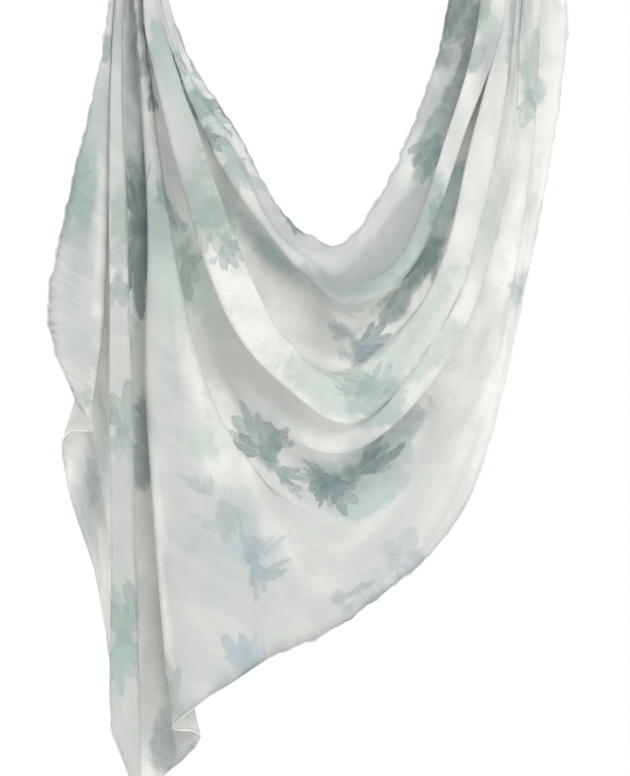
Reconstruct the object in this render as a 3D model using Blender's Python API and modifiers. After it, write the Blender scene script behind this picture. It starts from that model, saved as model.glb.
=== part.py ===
"""A printed chiffon hijab, hung up as a swag.

One rectangle of chiffon is pinched at a point of its long neckline edge, so
that its near end falls from the pinch as a cascade of folds. From the pinch
the cloth swings down and across as a swag, is gathered over a round hold on
the right, and ends in a short tail behind it.

Frame: origin at the pinch, +X to the right along the swag, +Y away from the
viewer, +Z up. Tables are in millimetres, everything else in metres.
"""
import math

import bpy
import numpy as np

MM = 0.001

# Driving dimensions of the cut and of its making.
CUT_LENGTH = 1.65        # long edges of the rectangle
WALL = 1.0 * MM          # wall that stands for the chiffon
SEAM_GAP = 1.0 * MM      # drawn back from each seam, which keeps the walls 0.3 mm apart or more
HEM_RADIUS = 1.2 * MM    # half the width of the rolled hem
HEM_GAP = 0.9 * MM       # between a hem and the edge it closes

# The round hold that the right-hand gathers pass over.
HOLD_DEPTH = 34 * MM     # its centre lies this far behind the gathers' middle
ARCH_STEPS = 4           # rows over each quarter of the loop

# How the tail hangs: its gathers drift sideways, open out and deepen.
TAIL_DRIFT = -20 * MM
TAIL_OPENING = 1.15
TAIL_DEEPENING = 1.7
TAIL_ROWS = 9

# How finely the folds are cut into flat facets.
PHASES_PER_FOLD = 6
ROWS_PER_SPAN = 3

# Shape of a fold's section.
LEVEL_PART = 0.19        # part of a pressed fold's turn that stays level before it falls away
FADE_DEPTH = 8 * MM      # a fold shallower than this loses its overlap

# Where each fold line of the swag lies, as (x, z) in mm at ten stations, from
# the pinch, down the left side, through the low point and up to the hold.
SWAG_LINES = {
    #            pinch    left        upper       middle      heel        low
    "neckline": [(15, 0), (53, -115), (103, -196), (144, -272), (175, -301), (207, -311),
                 # rise      climb        shoulder    hold
                 (241, -272), (276, -200), (313, -85), (329, 85)],
    "tube_inner": [(12, 0), (48, -125), (96, -207), (137, -287), (175, -323), (213, -346),
                   (266, -322), (310, -207), (346, -77), (347, 85)],
    "tube_outer": [(9, 0), (44, -127), (85, -229), (131, -294), (172, -345), (219, -380),
                   (284, -326), (333, -195), (371, -79), (369, 85)],
    "band_inner": [(7, 0), (42, -127), (79, -231), (119, -339), (160, -409), (217, -436),
                   (295, -347), (333, -220), (364, -85), (365, 85)],
    "band_outer": [(3, 0), (19, -131), (51, -265), (95, -385), (150, -454), (225, -489),
                   (312, -385), (359, -240), (382, -85), (379, 85)],
    "crescent": [(1, 0), (17, -133), (44, -275), (79, -415), (135, -489), (219, -515),
                 (315, -423), (370, -280), (387, -85), (387, 85)],
    "skirt": [(-1, 0), (14, -135), (34, -260), (73, -425), (129, -531), (212, -587),
              (329, -490), (392, -290), (408, -89), (404, 85)],
    "lower_hem": [(-4, 0), (10, -137), (23, -290), (53, -495), (132, -724), (225, -678),
                  (337, -564), (401, -310), (435, -97), (423, 85)],
}
HEEL = 4                 # the station where the lower hem turns its corner

# Depth in mm of the cloth between two fold lines, at the same ten stations.
# Minus is towards the viewer.
SWAG_DEPTHS = {
    "neck_edge": [6, 4, -4, -16, -24, -28, -20, 4, 14, 14],
    "tube": [-6, -12, -20, -28, -34, -36, -32, -26, -18, -14],
    "inner_valley": [4, -8, -6, 8, 12, 6, 8, 2, 0, 2],
    "band": [-6, -16, -28, -40, -46, -44, -36, -26, -16, -14],
    "outer_valley": [4, 8, 10, 11, -14, -29, -38, -14, -4, -5],
    "lower_layer": [6, 9, 8, 14, 12, 8, 20, -4, -6, -4],
    "broad_fold": [-2, 0, -4, -20, -14, 6, 14, 8, 10, 10],
}

# How far in mm the cloth turns under each inner fold line, at the same stations.
SWAG_OVERLAPS = {
    "tube_inner": [0, 0, 0, 0, 0, 0, 3, 5, 5, 3],
    "tube_outer": [0, 3, 4, 7, 5, 0, 4, 6, 5, 3],
    "band_inner": [0, 3, 5, 9, 4, 0, 5, 6, 4, 3],
    "band_outer": [0, 3, 6, 10, 12, 3, 0, 6, 4, 3],
    "crescent": [0, 0, 0, 0, 0, 4, 26, 3, 3, 2],
    "skirt": [0, 0, 2, 8, 6, 0, 0, 2, 4, 3],
}

# How sharp the cloth is at each inner fold line: 0 is a wave, 1 a pressed edge.
SWAG_SHARPNESS = {
    "tube_inner": [0.85, 0.6, 0.5, 0.45, 0.35, 0.3, 0.5, 0.8, 0.85, 0.85],
    "tube_outer": [0.85, 0.7, 0.55, 0.5, 0.45, 0.4, 0.6, 0.85, 0.85, 0.85],
    "band_inner": [0.85, 0.85, 0.85, 0.85, 0.8, 0.7, 0.75, 0.85, 0.85, 0.85],
    "band_outer": [0.85, 0.8, 0.8, 0.85, 0.85, 0.7, 0.3, 0.5, 0.85, 0.85],
    "crescent": [0.4, 0.1, 0.1, 0.3, 0.5, 0.8, 0.88, 0.6, 0.85, 0.85],
    "skirt": [0.4, 0.1, 0.1, 0.2, 0.4, 0.4, 0.3, 0.6, 0.85, 0.85],
}

# The cascade's fold lines, from the pinch to the cloth's free end.
CASCADE_LINES = {
    #             pinch    upper       middle      lower       free end
    "broad_fold": SWAG_LINES["lower_hem"][:HEEL + 1],
    "broad_left": [(-6, 0), (5, -145), (13, -305), (9, -495), (30, -797)],
    "pipe_right": [(-9, 0), (-10, -145), (-3, -305), (2, -496), (14, -890)],
    "pipe_left": [(-12, 0), (-22, -145), (-24, -315), (-23, -495), (-25, -772)],
    "flap_right": [(-13, 0), (-20, -135), (-21, -285), (-24, -405), (-41, -499)],
    "side_hem": [(-15, 0), (-33, -130), (-65, -272), (-83, -384), (-53, -471)],
}
CASCADE_DEPTHS = {
    "broad_fold": SWAG_DEPTHS["broad_fold"][:HEEL + 1],
    "shaded_valley": [6, 12, 17, 20, 16],
    "pipe": [-6, -14, -26, -34, -28],
    "back_layer": [4, 0, 2, 12, 16],
    "flap": [-6, -8, -12, -18, -24],
}
CASCADE_OVERLAPS = {
    "broad_left": [0, 0, 3, 8, 20],
    "pipe_right": [0, 2, 3, 5, 4],
    "pipe_left": [0, 1, 3, 5, 4],
    "flap_right": [0, 1, 6, 10, 18],
}
CASCADE_SHARPNESS = {
    "broad_left": [0.4, 0.1, 0.8, 0.88, 0.85],
    "pipe_right": [0.85, 0.8, 0.75, 0.75, 0.8],
    "pipe_left": [0.85, 0.8, 0.8, 0.8, 0.8],
    "flap_right": [0.85, 0.88, 0.88, 0.88, 0.8],
}

# Material colours: (red, green, blue), roughness.
CHIFFON = ((0.82, 0.85, 0.83), 0.85)
CHIFFON_HEM = ((0.60, 0.68, 0.67), 0.80)


def smooth_rows(table, rows_per_span, corner=None):
    """Carry every row of a table smoothly through its stations.

    table has the shape (line, station, value). Each span is a cubic that
    leaves a station along the chord between its two neighbours. At a corner
    the cubic leaves along its own span instead, so the line keeps its angle.
    Returns the shape (row, line, value).
    """
    places = np.asarray(table, float)
    slopes = np.empty_like(places)
    slopes[:, 1:-1] = (places[:, 2:] - places[:, :-2]) / 2
    slopes[:, 0] = places[:, 1] - places[:, 0]
    slopes[:, -1] = places[:, -1] - places[:, -2]
    last_span = places.shape[1] - 2
    spans = []
    for span in range(last_span + 1):
        t = np.linspace(0, 1, rows_per_span + 1)
        if span < last_span:
            t = t[:-1]
        t = t[:, None, None]
        start, end = places[:, span], places[:, span + 1]
        leave, arrive = slopes[:, span].copy(), slopes[:, span + 1].copy()
        if corner is not None:
            line, station = corner
            if span + 1 == station:
                arrive[line] = (end - start)[line]
            if span == station:
                leave[line] = (end - start)[line]
        spans.append((2 * t**3 - 3 * t**2 + 1) * start + (t**3 - 2 * t**2 + t) * leave
                     + (3 * t**2 - 2 * t**3) * end + (t**3 - t**2) * arrive)
    return np.concatenate(spans)


def unit(vectors):
    """Vectors of length one."""
    return vectors / np.maximum(np.linalg.norm(vectors, axis=-1, keepdims=True), 1e-9)


def folded_surface(lines, depths, overlaps, sharpness, rows_per_span, corner=None):
    """The folded cloth, as points of the shape (row, phase, xyz).

    Along the cloth the rows follow the stations. Across it the phase grows by
    pi from one panel's middle to the next, with a fold line half-way. A
    panel's place slides from line to line, its depth steps from level to
    level at each line, and the term overlap * sin(2 phase) pushes the front
    layer out over the back one, which turns under. Sharpness bunches both the
    slide's slow part and the step at the line.
    """
    line_rows = smooth_rows(list(lines.values()), rows_per_span, corner) * MM
    level_rows, tuck_rows, sharp_rows = (
        smooth_rows(np.array(list(table.values()))[..., None], rows_per_span)[..., 0]
        for table in (depths, overlaps, sharpness))
    level_rows, tuck_rows = level_rows * MM, tuck_rows * MM

    # Each fold line turned a quarter: the way across the cloth.
    along = unit(np.gradient(line_rows, axis=0))
    across = np.stack([along[..., 1], -along[..., 0]], axis=-1)
    outward = line_rows[:, -1] - line_rows[:, 0]
    across *= np.sign(np.sum(across * outward[:, None], axis=-1, keepdims=True))

    step = np.diff(level_rows, axis=1)
    tuck = np.maximum(tuck_rows, 0) * (1 - np.exp(-(step / FADE_DEPTH) ** 2))
    side = np.tanh(step / FADE_DEPTH)
    line_rows[:, 1:-1] -= (tuck * side)[..., None] * across[:, 1:-1]

    folds = len(overlaps)
    phase = np.linspace(0, folds, folds * PHASES_PER_FOLD + 1)
    fold = np.minimum(phase.astype(int), folds - 1)
    turn = phase - fold

    # Slide between lines: slow beside a line, quick through a panel's middle.
    panel = np.floor(phase + 0.5).astype(int)
    part = phase + 0.5 - panel
    sharp = sharp_rows[:, fold]
    slide = part - sharp * np.sin(2 * math.pi * part) / (2 * math.pi)
    slide = np.where(panel == 0, 2 * (slide - 0.5), slide)
    slide = np.where(panel == folds, 2 * slide, slide)
    places = line_rows[:, panel] + slide[..., None] * (line_rows[:, panel + 1] - line_rows[:, panel])
    bulge = (tuck[:, fold] * np.sin(2 * math.pi * turn))[..., None]
    places = places + bulge * across[:, 1:-1][:, fold]

    # Step between levels: level beside the panels' middles, steep at the line.
    level_part = LEVEL_PART * sharp
    fall = np.clip((turn - level_part) / (1 - 2 * level_part), 0, 1)
    fall = fall * fall * (3 - 2 * fall)
    depth = level_rows[:, fold] + fall * (level_rows[:, fold + 1] - level_rows[:, fold])
    return np.stack([places[..., 0], depth, places[..., 1]], axis=-1)


def over_the_hold(section, angles):
    """Carry the gathers' section over the round hold, one row for each angle."""
    angles = np.asarray(angles)[:, None]
    radius = HOLD_DEPTH - section[:, 1]
    x = np.broadcast_to(section[:, 0], (len(angles), len(radius)))
    y = HOLD_DEPTH - radius * np.cos(angles)
    z = section[:, 2] + radius * np.sin(angles)
    return np.stack([x, y, z], axis=-1)


def path_length(points):
    """Length of a line through points."""
    return float(np.sum(np.linalg.norm(np.diff(points, axis=0), axis=1)))


def tail_surface(section, neckline_length, lower_length):
    """The tail: over the back of the hold, then down to its slanted end."""
    arch = over_the_hold(section, np.linspace(math.pi / 2, math.pi, ARCH_STEPS + 1))
    top = arch[-1]
    steps = np.linalg.norm(np.diff(section, axis=0), axis=1)
    girth = np.concatenate([[0], np.cumsum(steps)])
    length = neckline_length + girth / girth[-1] * (lower_length - neckline_length)
    down = np.linspace(0, 1, TAIL_ROWS + 1)[1:, None]
    opening = 1 + (TAIL_OPENING - 1) * down
    deepening = 1 + (TAIL_DEEPENING - 1) * down
    middle = top.mean(axis=0)
    even = np.linspace(top[0, 0], top[-1, 0], len(top))
    spread = top[:, 0] + down * (even - top[:, 0])
    x = middle[0] + opening * (spread - middle[0]) + TAIL_DRIFT * down**2
    y = middle[1] + deepening * (top[:, 1] - middle[1])
    z = top[:, 2] - length * down
    return np.concatenate([arch, np.stack([x, y, z], axis=-1)])


def drawn_in(edge, inner, distance):
    """Points of an edge moved inwards along the cloth."""
    return edge + distance * unit(inner - edge)


def hem_path(edge, inner):
    """The line of a rolled hem: the edge's own points, moved out of the cloth."""
    along = unit(np.gradient(edge, axis=0))
    out = edge - inner
    out = unit(out - np.sum(out * along, axis=1, keepdims=True) * along)
    path = edge + (HEM_RADIUS + HEM_GAP) * out
    trim = HEM_RADIUS + HEM_GAP
    path[0] += trim * unit(path[1] - path[0])
    path[-1] += trim * unit(path[-2] - path[-1])
    return path


def material(name, colour, roughness):
    """A plain Principled material for one piece."""
    made = bpy.data.materials.new(name)
    made.use_nodes = True
    shader = made.node_tree.nodes["Principled BSDF"]
    shader.inputs["Base Color"].default_value = (*colour, 1)
    shader.inputs["Roughness"].default_value = roughness
    shader.inputs["Metallic"].default_value = 0
    return made


def cloth_piece(name, points, collection):
    """A stretch of cloth: an open surface with a Solidify wall."""
    rows, columns = points.shape[:2]
    index = np.arange(rows * columns).reshape(rows, columns)
    faces = np.stack([index[:-1, :-1], index[1:, :-1], index[1:, 1:], index[:-1, 1:]], axis=-1)
    mesh = bpy.data.meshes.new(name)
    mesh.from_pydata(points.reshape(-1, 3).tolist(), [], faces.reshape(-1, 4).tolist())
    mesh.shade_smooth()
    mesh.materials.append(material(name, *CHIFFON))
    piece = bpy.data.objects.new(name, mesh)
    collection.objects.link(piece)
    wall = piece.modifiers.new("wall", "SOLIDIFY")
    wall.thickness = WALL
    wall.offset = 0
    return piece


def hem_piece(name, path, collection):
    """A rolled hem: a thin bevelled curve along the cloth's edge."""
    curve = bpy.data.curves.new(name, "CURVE")
    curve.dimensions = "3D"
    curve.bevel_depth = HEM_RADIUS
    curve.bevel_resolution = 0
    curve.use_fill_caps = True
    spline = curve.splines.new("POLY")
    spline.points.add(len(path) - 1)
    spline.points.foreach_set("co", np.column_stack([path, np.ones(len(path))]).ravel())
    curve.materials.append(material(name, *CHIFFON_HEM))
    piece = bpy.data.objects.new(name, curve)
    collection.objects.link(piece)
    return piece


def build():
    """Make every stretch of cloth and every hem."""
    for old in list(bpy.data.objects):
        bpy.data.objects.remove(old)
    collection = bpy.data.collections.new("hijab")
    bpy.context.scene.collection.children.link(collection)

    lower_line = list(SWAG_LINES).index("lower_hem")
    swag = folded_surface(SWAG_LINES, SWAG_DEPTHS, SWAG_OVERLAPS, SWAG_SHARPNESS,
                          ROWS_PER_SPAN, corner=(lower_line, HEEL))
    section = swag[-1]
    arch = over_the_hold(section, np.linspace(0, math.pi / 2, ARCH_STEPS + 1)[1:])
    swag = np.concatenate([swag, arch])
    cascade = folded_surface(CASCADE_LINES, CASCADE_DEPTHS, CASCADE_OVERLAPS,
                             CASCADE_SHARPNESS, ROWS_PER_SPAN)

    # What is left of each long edge, past the loop's top, is the tail's length.
    half_loop = math.pi / 2 * HOLD_DEPTH
    used_neckline = path_length(cascade[:, -1]) + path_length(swag[:, 0]) + half_loop
    heel_row = HEEL * ROWS_PER_SPAN
    free_end = list(CASCADE_LINES).index("pipe_right")
    corner_phase = int((free_end - 0.5) * PHASES_PER_FOLD)
    used_lower = path_length(cascade[-1, :corner_phase + 1])
    used_lower += path_length(swag[heel_row:, -1]) + half_loop
    tail = tail_surface(section, CUT_LENGTH - used_neckline, CUT_LENGTH - used_lower)

    # Hems follow the edges, so they are made before the seams are opened.
    end_edge, end_inner = cascade[-1], cascade[-2]
    hem_piece("neckline_hem", hem_path(swag[:, 0], swag[:, 1]), collection)
    hem_piece("lower_hem", hem_path(swag[heel_row:, -1], swag[heel_row:, -2]), collection)
    hem_piece("side_hem", hem_path(cascade[:, -1], cascade[:, -2]), collection)
    hem_piece("corner_hem", hem_path(end_edge[:corner_phase + 1], end_inner[:corner_phase + 1]), collection)
    hem_piece("end_hem", hem_path(end_edge[corner_phase:], end_inner[corner_phase:]), collection)
    hem_piece("tail_neckline_hem", hem_path(tail[:, 0], tail[:, 1]), collection)
    hem_piece("tail_lower_hem", hem_path(tail[:, -1], tail[:, -2]), collection)
    hem_piece("tail_end_hem", hem_path(tail[-1], tail[-2]), collection)

    # Open a seam gap where one stretch of the cloth meets the next.
    cascade[:, 0] = drawn_in(cascade[:, 0], cascade[:, 1], SEAM_GAP)
    tail[0] = drawn_in(tail[0], tail[1], SEAM_GAP)
    cloth_piece("swag_cloth", swag, collection)
    cloth_piece("side_cascade", cascade, collection)
    cloth_piece("tail_cloth", tail, collection)


build()
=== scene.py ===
# %% [markdown]
# # A sheer printed hijab, hung up as a swag
#
# The real object is one rectangle of chiffon, 0.70 m wide and 1.65 m long, with a
# narrow rolled hem. It is pinched at one point of its long neckline edge, swings
# down and across in cowl folds, and is gathered over a round hold on the right.
# This file hangs that cloth fold by fold, rolls its hem and dyes its print.

import math

import bpy
import numpy as np
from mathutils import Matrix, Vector


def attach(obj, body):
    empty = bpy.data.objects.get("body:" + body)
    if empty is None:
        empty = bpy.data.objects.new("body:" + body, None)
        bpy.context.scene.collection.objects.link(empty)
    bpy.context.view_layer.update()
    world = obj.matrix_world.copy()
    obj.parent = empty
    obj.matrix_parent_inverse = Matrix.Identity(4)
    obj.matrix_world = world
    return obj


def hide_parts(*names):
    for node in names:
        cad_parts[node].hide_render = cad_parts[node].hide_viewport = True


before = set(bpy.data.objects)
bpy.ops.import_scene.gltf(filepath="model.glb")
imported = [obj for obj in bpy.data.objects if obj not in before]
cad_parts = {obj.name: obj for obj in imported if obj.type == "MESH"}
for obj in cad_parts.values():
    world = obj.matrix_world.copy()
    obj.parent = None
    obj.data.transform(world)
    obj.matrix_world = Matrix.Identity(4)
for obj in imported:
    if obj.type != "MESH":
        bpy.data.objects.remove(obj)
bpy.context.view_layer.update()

# %% [markdown]
# ## Camera, light and floor
#
# The scarf is looked at straight from the front with a long lens, so that its
# outline keeps its proportions. Chiffon shows its folds best in soft light: a
# large lamp from the upper right, a weaker one from the left, and a pale room all
# round. The floor lies well below the hanging ends.

# %% Camera
CAMERA_DISTANCE = 3.2
VIEW_MIDDLE = (0.182, -0.453)      # x and z that the lens points at
VIEW_HEIGHT = 0.776                # metres of cloth from the top to the bottom of the view
SENSOR = 24.0

camera_data = bpy.data.cameras.new("camera")
camera_data.sensor_fit = "VERTICAL"
camera_data.sensor_height = SENSOR
camera_data.lens = SENSOR * CAMERA_DISTANCE / VIEW_HEIGHT
camera = bpy.data.objects.new("camera", camera_data)
camera.location = (VIEW_MIDDLE[0], -CAMERA_DISTANCE, VIEW_MIDDLE[1])
camera.rotation_euler = (math.pi / 2, 0, 0)
bpy.context.scene.collection.objects.link(camera)
bpy.context.scene.camera = camera
bpy.context.scene.view_settings.view_transform = "Standard"
print("lens:", round(camera_data.lens, 1), "mm")

# %% Lamps and floor
LAMPS = {
    # name: (place, size, watts)
    "key_lamp": ((0.75, -1.75, 1.25), 1.3, 31),
    "left_lamp": ((-1.9, -1.3, 0.1), 1.4, 8),
    "back_lamp": ((0.4, 1.9, 0.9), 1.6, 12),
}
CLOTH_MIDDLE = np.array((0.18, 0.0, -0.40))
FLOOR_HEIGHT = -1.35
FLOOR_RADIUS = 2.6
FLOOR_SIDES = 96


def aimed(place, target):
    """Rotation that turns a lamp's -Z from its place towards a target."""
    return (Vector(target) - Vector(place)).to_track_quat("-Z", "Y").to_euler()


for name, (place, size, watts) in LAMPS.items():
    lamp_data = bpy.data.lights.new(name, "AREA")
    lamp_data.shape = "DISK"
    lamp_data.size = size
    lamp_data.energy = watts
    lamp = bpy.data.objects.new(name, lamp_data)
    lamp.location = place
    lamp.rotation_euler = aimed(place, CLOTH_MIDDLE)
    bpy.context.scene.collection.objects.link(lamp)

turn = np.linspace(0, 2 * math.pi, FLOOR_SIDES, endpoint=False)
rim = np.column_stack([CLOTH_MIDDLE[0] + FLOOR_RADIUS * np.cos(turn), FLOOR_RADIUS * np.sin(turn),
                       np.full(len(turn), FLOOR_HEIGHT)])
floor_mesh = bpy.data.meshes.new("floor")
floor_mesh.from_pydata(rim.tolist(), [], [list(range(len(rim)))])
floor = bpy.data.objects.new("floor", floor_mesh)
bpy.context.scene.collection.objects.link(floor)
print(len(LAMPS), "lamps, floor at", FLOOR_HEIGHT)

# %% [markdown]
# ## Shader maths as plain sums
#
# A pattern in cloth is a sum worked out at every point. Written as nodes it is
# hard to read, so a small class wraps a node's socket: adding or multiplying two
# of them adds the Math node. Every other node comes from `Finish.node`.

# %% A socket that does sums
class Wire:
    """A socket's value; an operator on it adds a Math node."""

    def __init__(self, finish, socket):
        self.finish = finish
        self.socket = socket

    def math(self, operation, *others):
        """A Math node on this value and the others."""
        return self.finish.node("ShaderNodeMath", {"operation": operation}, [self, *others])

    def __add__(self, other):
        return self.math("ADD", other)

    def __sub__(self, other):
        return self.math("SUBTRACT", other)

    def __mul__(self, other):
        return self.math("MULTIPLY", other)

    def __truediv__(self, other):
        return self.math("DIVIDE", other)

    def __rsub__(self, other):
        return self.finish.node("ShaderNodeMath", {"operation": "SUBTRACT"}, [other, self])

    __radd__ = __add__
    __rmul__ = __mul__

    def output(self, number):
        """Another output of the same node."""
        return Wire(self.finish, self.socket.node.outputs[number])


print("a socket can do sums")

# %% A material being made up
class Finish:
    """A material being made up. node adds any node and gives back its output."""

    def __init__(self, name):
        self.material = bpy.data.materials.new(name)
        self.material.use_nodes = True
        self.tree = self.material.node_tree
        self.shader = self.tree.nodes["Principled BSDF"]

    def node(self, kind, settings=None, values=(), output=0):
        """Add a node: its settings first, then its sockets, by order or by name."""
        made = self.tree.nodes.new(kind)
        for key, value in (settings or {}).items():
            setattr(made, key, value)
        named = values.items() if isinstance(values, dict) else enumerate(values)
        for key, value in named:
            self.feed(made.inputs[key], value)
        return Wire(self, made.outputs[output])

    def feed(self, socket, value):
        """Link a Wire to a socket, or set its value."""
        if isinstance(value, Wire):
            self.tree.links.new(value.socket, socket)
        else:
            socket.default_value = value

    def mix(self, factor, first, second):
        """Blend two colours."""
        return self.node("ShaderNodeMix", {"data_type": "RGBA", "clamp_factor": True},
                         {0: factor, 6: first, 7: second}, output=2)

    def step(self, value, low, high):
        """0 below low, 1 above high, and smooth between."""
        return self.node("ShaderNodeMapRange", {"interpolation_type": "SMOOTHSTEP"},
                         [value, low, high, 0.0, 1.0])

    def noise(self, place, scale, detail, roughness):
        """Cloudy values round 0.5."""
        return self.node("ShaderNodeTexNoise", {"noise_dimensions": "3D"},
                         {"Vector": place, "Scale": scale, "Detail": detail,
                          "Roughness": roughness})


print("nodes come from one method")

# %% Colours as they are seen
def dye(red, green, blue):
    """A colour as it is seen, from 0 to 255, turned into light's own scale."""
    seen = np.array([red, green, blue]) / 255
    light = np.where(seen <= 0.04045, seen / 12.92, ((seen + 0.055) / 1.055) ** 2.4)
    return (*light.tolist(), 1.0)


print("middle grey as light:", round(dye(128, 128, 128)[0], 3))

# %% [markdown]
# ## The room
#
# A white room fills the shadows from all sides, as a white tent round it would.
# It is a little dimmer than it looks, so that the lamps still model the
# folds. The floor is a matt pale sheet with a faint glow of its own.

# %% Room and floor finishes
world = bpy.data.worlds.new("room")
bpy.context.scene.world = world
world.use_nodes = True
ROOM_LIGHT = 0.80
nodes, links = world.node_tree.nodes, world.node_tree.links
room = nodes["Background"]
room.inputs["Color"].default_value = (1, 1, 1, 1)
seen_directly = nodes.new("ShaderNodeLightPath").outputs["Is Camera Ray"]
strength = nodes.new("ShaderNodeMapRange")
links.new(seen_directly, strength.inputs["Value"])
strength.inputs["To Min"].default_value = ROOM_LIGHT
strength.inputs["To Max"].default_value = 1.0
links.new(strength.outputs["Result"], room.inputs["Strength"])

floor_finish = Finish("pale_floor")
floor_finish.shader.inputs["Base Color"].default_value = dye(244, 244, 243)
floor_finish.shader.inputs["Roughness"].default_value = 0.9
floor_finish.shader.inputs["Emission Color"].default_value = (1, 1, 1, 1)
floor_finish.shader.inputs["Emission Strength"].default_value = 0.35
floor.data.materials.append(floor_finish.material)
print("room light:", ROOM_LIGHT)

# %% [markdown]
# ## Where the folds run
#
# Hung cloth can be described by its fold lines: the edges where it turns back on
# itself. All of them leave the pinch. Those of the swag run down, through the low
# point and up to the hold. Those of the near end fall straight. Between two
# lines lies a panel, nearer or farther than its neighbours. So a few short tables
# hold the whole drape, in millimetres from the pinch: where each line lies, how
# deep each panel lies, and how far the cloth turns under at each line.

# %% The swag's fold lines
MM = 0.001

SWAG_LINES = {
    #            pinch    left        upper       middle      heel        low
    "neckline": [(15, 0), (53, -115), (103, -196), (144, -272), (175, -301), (207, -311),
                 # rise      climb        shoulder    hold
                 (241, -272), (276, -200), (313, -85), (329, 85)],
    "tube_inner": [(12, 0), (48, -125), (96, -207), (137, -287), (175, -323), (213, -346),
                   (266, -322), (310, -207), (346, -77), (347, 85)],
    "tube_outer": [(9, 0), (44, -127), (85, -229), (131, -294), (172, -345), (219, -380),
                   (284, -326), (333, -195), (371, -79), (369, 85)],
    "band_inner": [(7, 0), (42, -127), (79, -231), (119, -339), (160, -409), (217, -436),
                   (295, -347), (333, -220), (364, -85), (365, 85)],
    "band_outer": [(3, 0), (19, -131), (51, -265), (95, -385), (150, -454), (225, -489),
                   (312, -385), (359, -240), (382, -85), (379, 85)],
    "crescent": [(1, 0), (17, -133), (44, -275), (79, -415), (135, -489), (219, -515),
                 (315, -423), (370, -280), (387, -85), (387, 85)],
    "skirt": [(-1, 0), (14, -135), (34, -260), (73, -425), (129, -531), (212, -587),
              (329, -490), (392, -290), (408, -89), (404, 85)],
    "lower_hem": [(-4, 0), (10, -137), (23, -290), (53, -495), (132, -724), (225, -678),
                  (337, -564), (401, -310), (435, -97), (423, 85)],
}
HEEL = 4                 # the station where the lower hem turns its corner
print(len(SWAG_LINES), "fold lines in the swag")

# %% The swag's panels and turns
# Depth of the cloth between two lines, at the same ten stations; minus is nearer.
SWAG_DEPTHS = {
    "neck_edge": [6, 4, -4, -16, -24, -28, -20, 4, 14, 14],
    "tube": [-6, -12, -20, -28, -34, -36, -32, -26, -18, -14],
    "inner_valley": [4, -8, -6, 8, 12, 6, 8, 2, 0, 2],
    "band": [-6, -16, -28, -40, -46, -44, -36, -26, -16, -14],
    "outer_valley": [4, 8, 10, 11, -14, -29, -38, -14, -4, -5],
    "lower_layer": [6, 9, 8, 14, 12, 8, 20, -4, -6, -4],
    "broad_fold": [-2, 0, -4, -20, -14, 6, 14, 8, 10, 10],
}

# How far the cloth turns under each inner line, at the same stations.
SWAG_OVERLAPS = {
    "tube_inner": [0, 0, 0, 0, 0, 0, 3, 5, 5, 3],
    "tube_outer": [0, 3, 4, 7, 5, 0, 4, 6, 5, 3],
    "band_inner": [0, 3, 5, 9, 4, 0, 5, 6, 4, 3],
    "band_outer": [0, 3, 6, 10, 12, 3, 0, 6, 4, 3],
    "crescent": [0, 0, 0, 0, 0, 4, 26, 3, 3, 2],
    "skirt": [0, 0, 2, 8, 6, 0, 0, 2, 4, 3],
}

# How sharp the cloth is at each inner line: 0 is a wave, 1 a pressed edge.
SWAG_SHARPNESS = {
    "tube_inner": [0.85, 0.6, 0.5, 0.45, 0.35, 0.3, 0.5, 0.8, 0.85, 0.85],
    "tube_outer": [0.85, 0.7, 0.55, 0.5, 0.45, 0.4, 0.6, 0.85, 0.85, 0.85],
    "band_inner": [0.85, 0.85, 0.85, 0.85, 0.8, 0.7, 0.75, 0.85, 0.85, 0.85],
    "band_outer": [0.85, 0.8, 0.8, 0.85, 0.85, 0.7, 0.3, 0.5, 0.85, 0.85],
    "crescent": [0.4, 0.1, 0.1, 0.3, 0.5, 0.8, 0.88, 0.6, 0.85, 0.85],
    "skirt": [0.4, 0.1, 0.1, 0.2, 0.4, 0.4, 0.3, 0.6, 0.85, 0.85],
}
print("nearest panel:", -min(min(depths) for depths in SWAG_DEPTHS.values()), "mm before the pinch")

# %% The cascade's folds
CASCADE_LINES = {
    #             pinch    upper       middle      lower       free end
    "broad_fold": SWAG_LINES["lower_hem"][:HEEL + 1],
    "broad_left": [(-6, 0), (5, -145), (13, -305), (9, -495), (30, -797)],
    "pipe_right": [(-9, 0), (-10, -145), (-3, -305), (2, -496), (14, -890)],
    "pipe_left": [(-12, 0), (-22, -145), (-24, -315), (-23, -495), (-25, -772)],
    "flap_right": [(-13, 0), (-20, -135), (-21, -285), (-24, -405), (-41, -499)],
    "side_hem": [(-15, 0), (-33, -130), (-65, -272), (-83, -384), (-53, -471)],
}
CASCADE_DEPTHS = {
    "broad_fold": SWAG_DEPTHS["broad_fold"][:HEEL + 1],
    "shaded_valley": [6, 12, 17, 20, 16],
    "pipe": [-6, -14, -26, -34, -28],
    "back_layer": [4, 0, 2, 12, 16],
    "flap": [-6, -8, -12, -18, -24],
}
CASCADE_OVERLAPS = {
    "broad_left": [0, 0, 3, 8, 20],
    "pipe_right": [0, 2, 3, 5, 4],
    "pipe_left": [0, 1, 3, 5, 4],
    "flap_right": [0, 1, 6, 10, 18],
}
CASCADE_SHARPNESS = {
    "broad_left": [0.4, 0.1, 0.8, 0.88, 0.85],
    "pipe_right": [0.85, 0.8, 0.75, 0.75, 0.8],
    "pipe_left": [0.85, 0.8, 0.8, 0.8, 0.8],
    "flap_right": [0.85, 0.88, 0.88, 0.88, 0.8],
}
print(len(CASCADE_LINES), "fold lines in the near end")

# %% [markdown]
# ## From fold lines to a surface
#
# A grid covers the cloth. Its rows cross the folds and its columns follow them.
# Along a column the tables' stations are joined by cubics. Across a row a number
# called the phase grows by one from a panel's middle to the next one's, with the
# fold line half-way: the cloth slides from line to line, steps from depth to
# depth at each, and a sine pushes the nearer layer out over the farther one.

# %% Joining the stations
ROWS_PER_SPAN = 24


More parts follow.
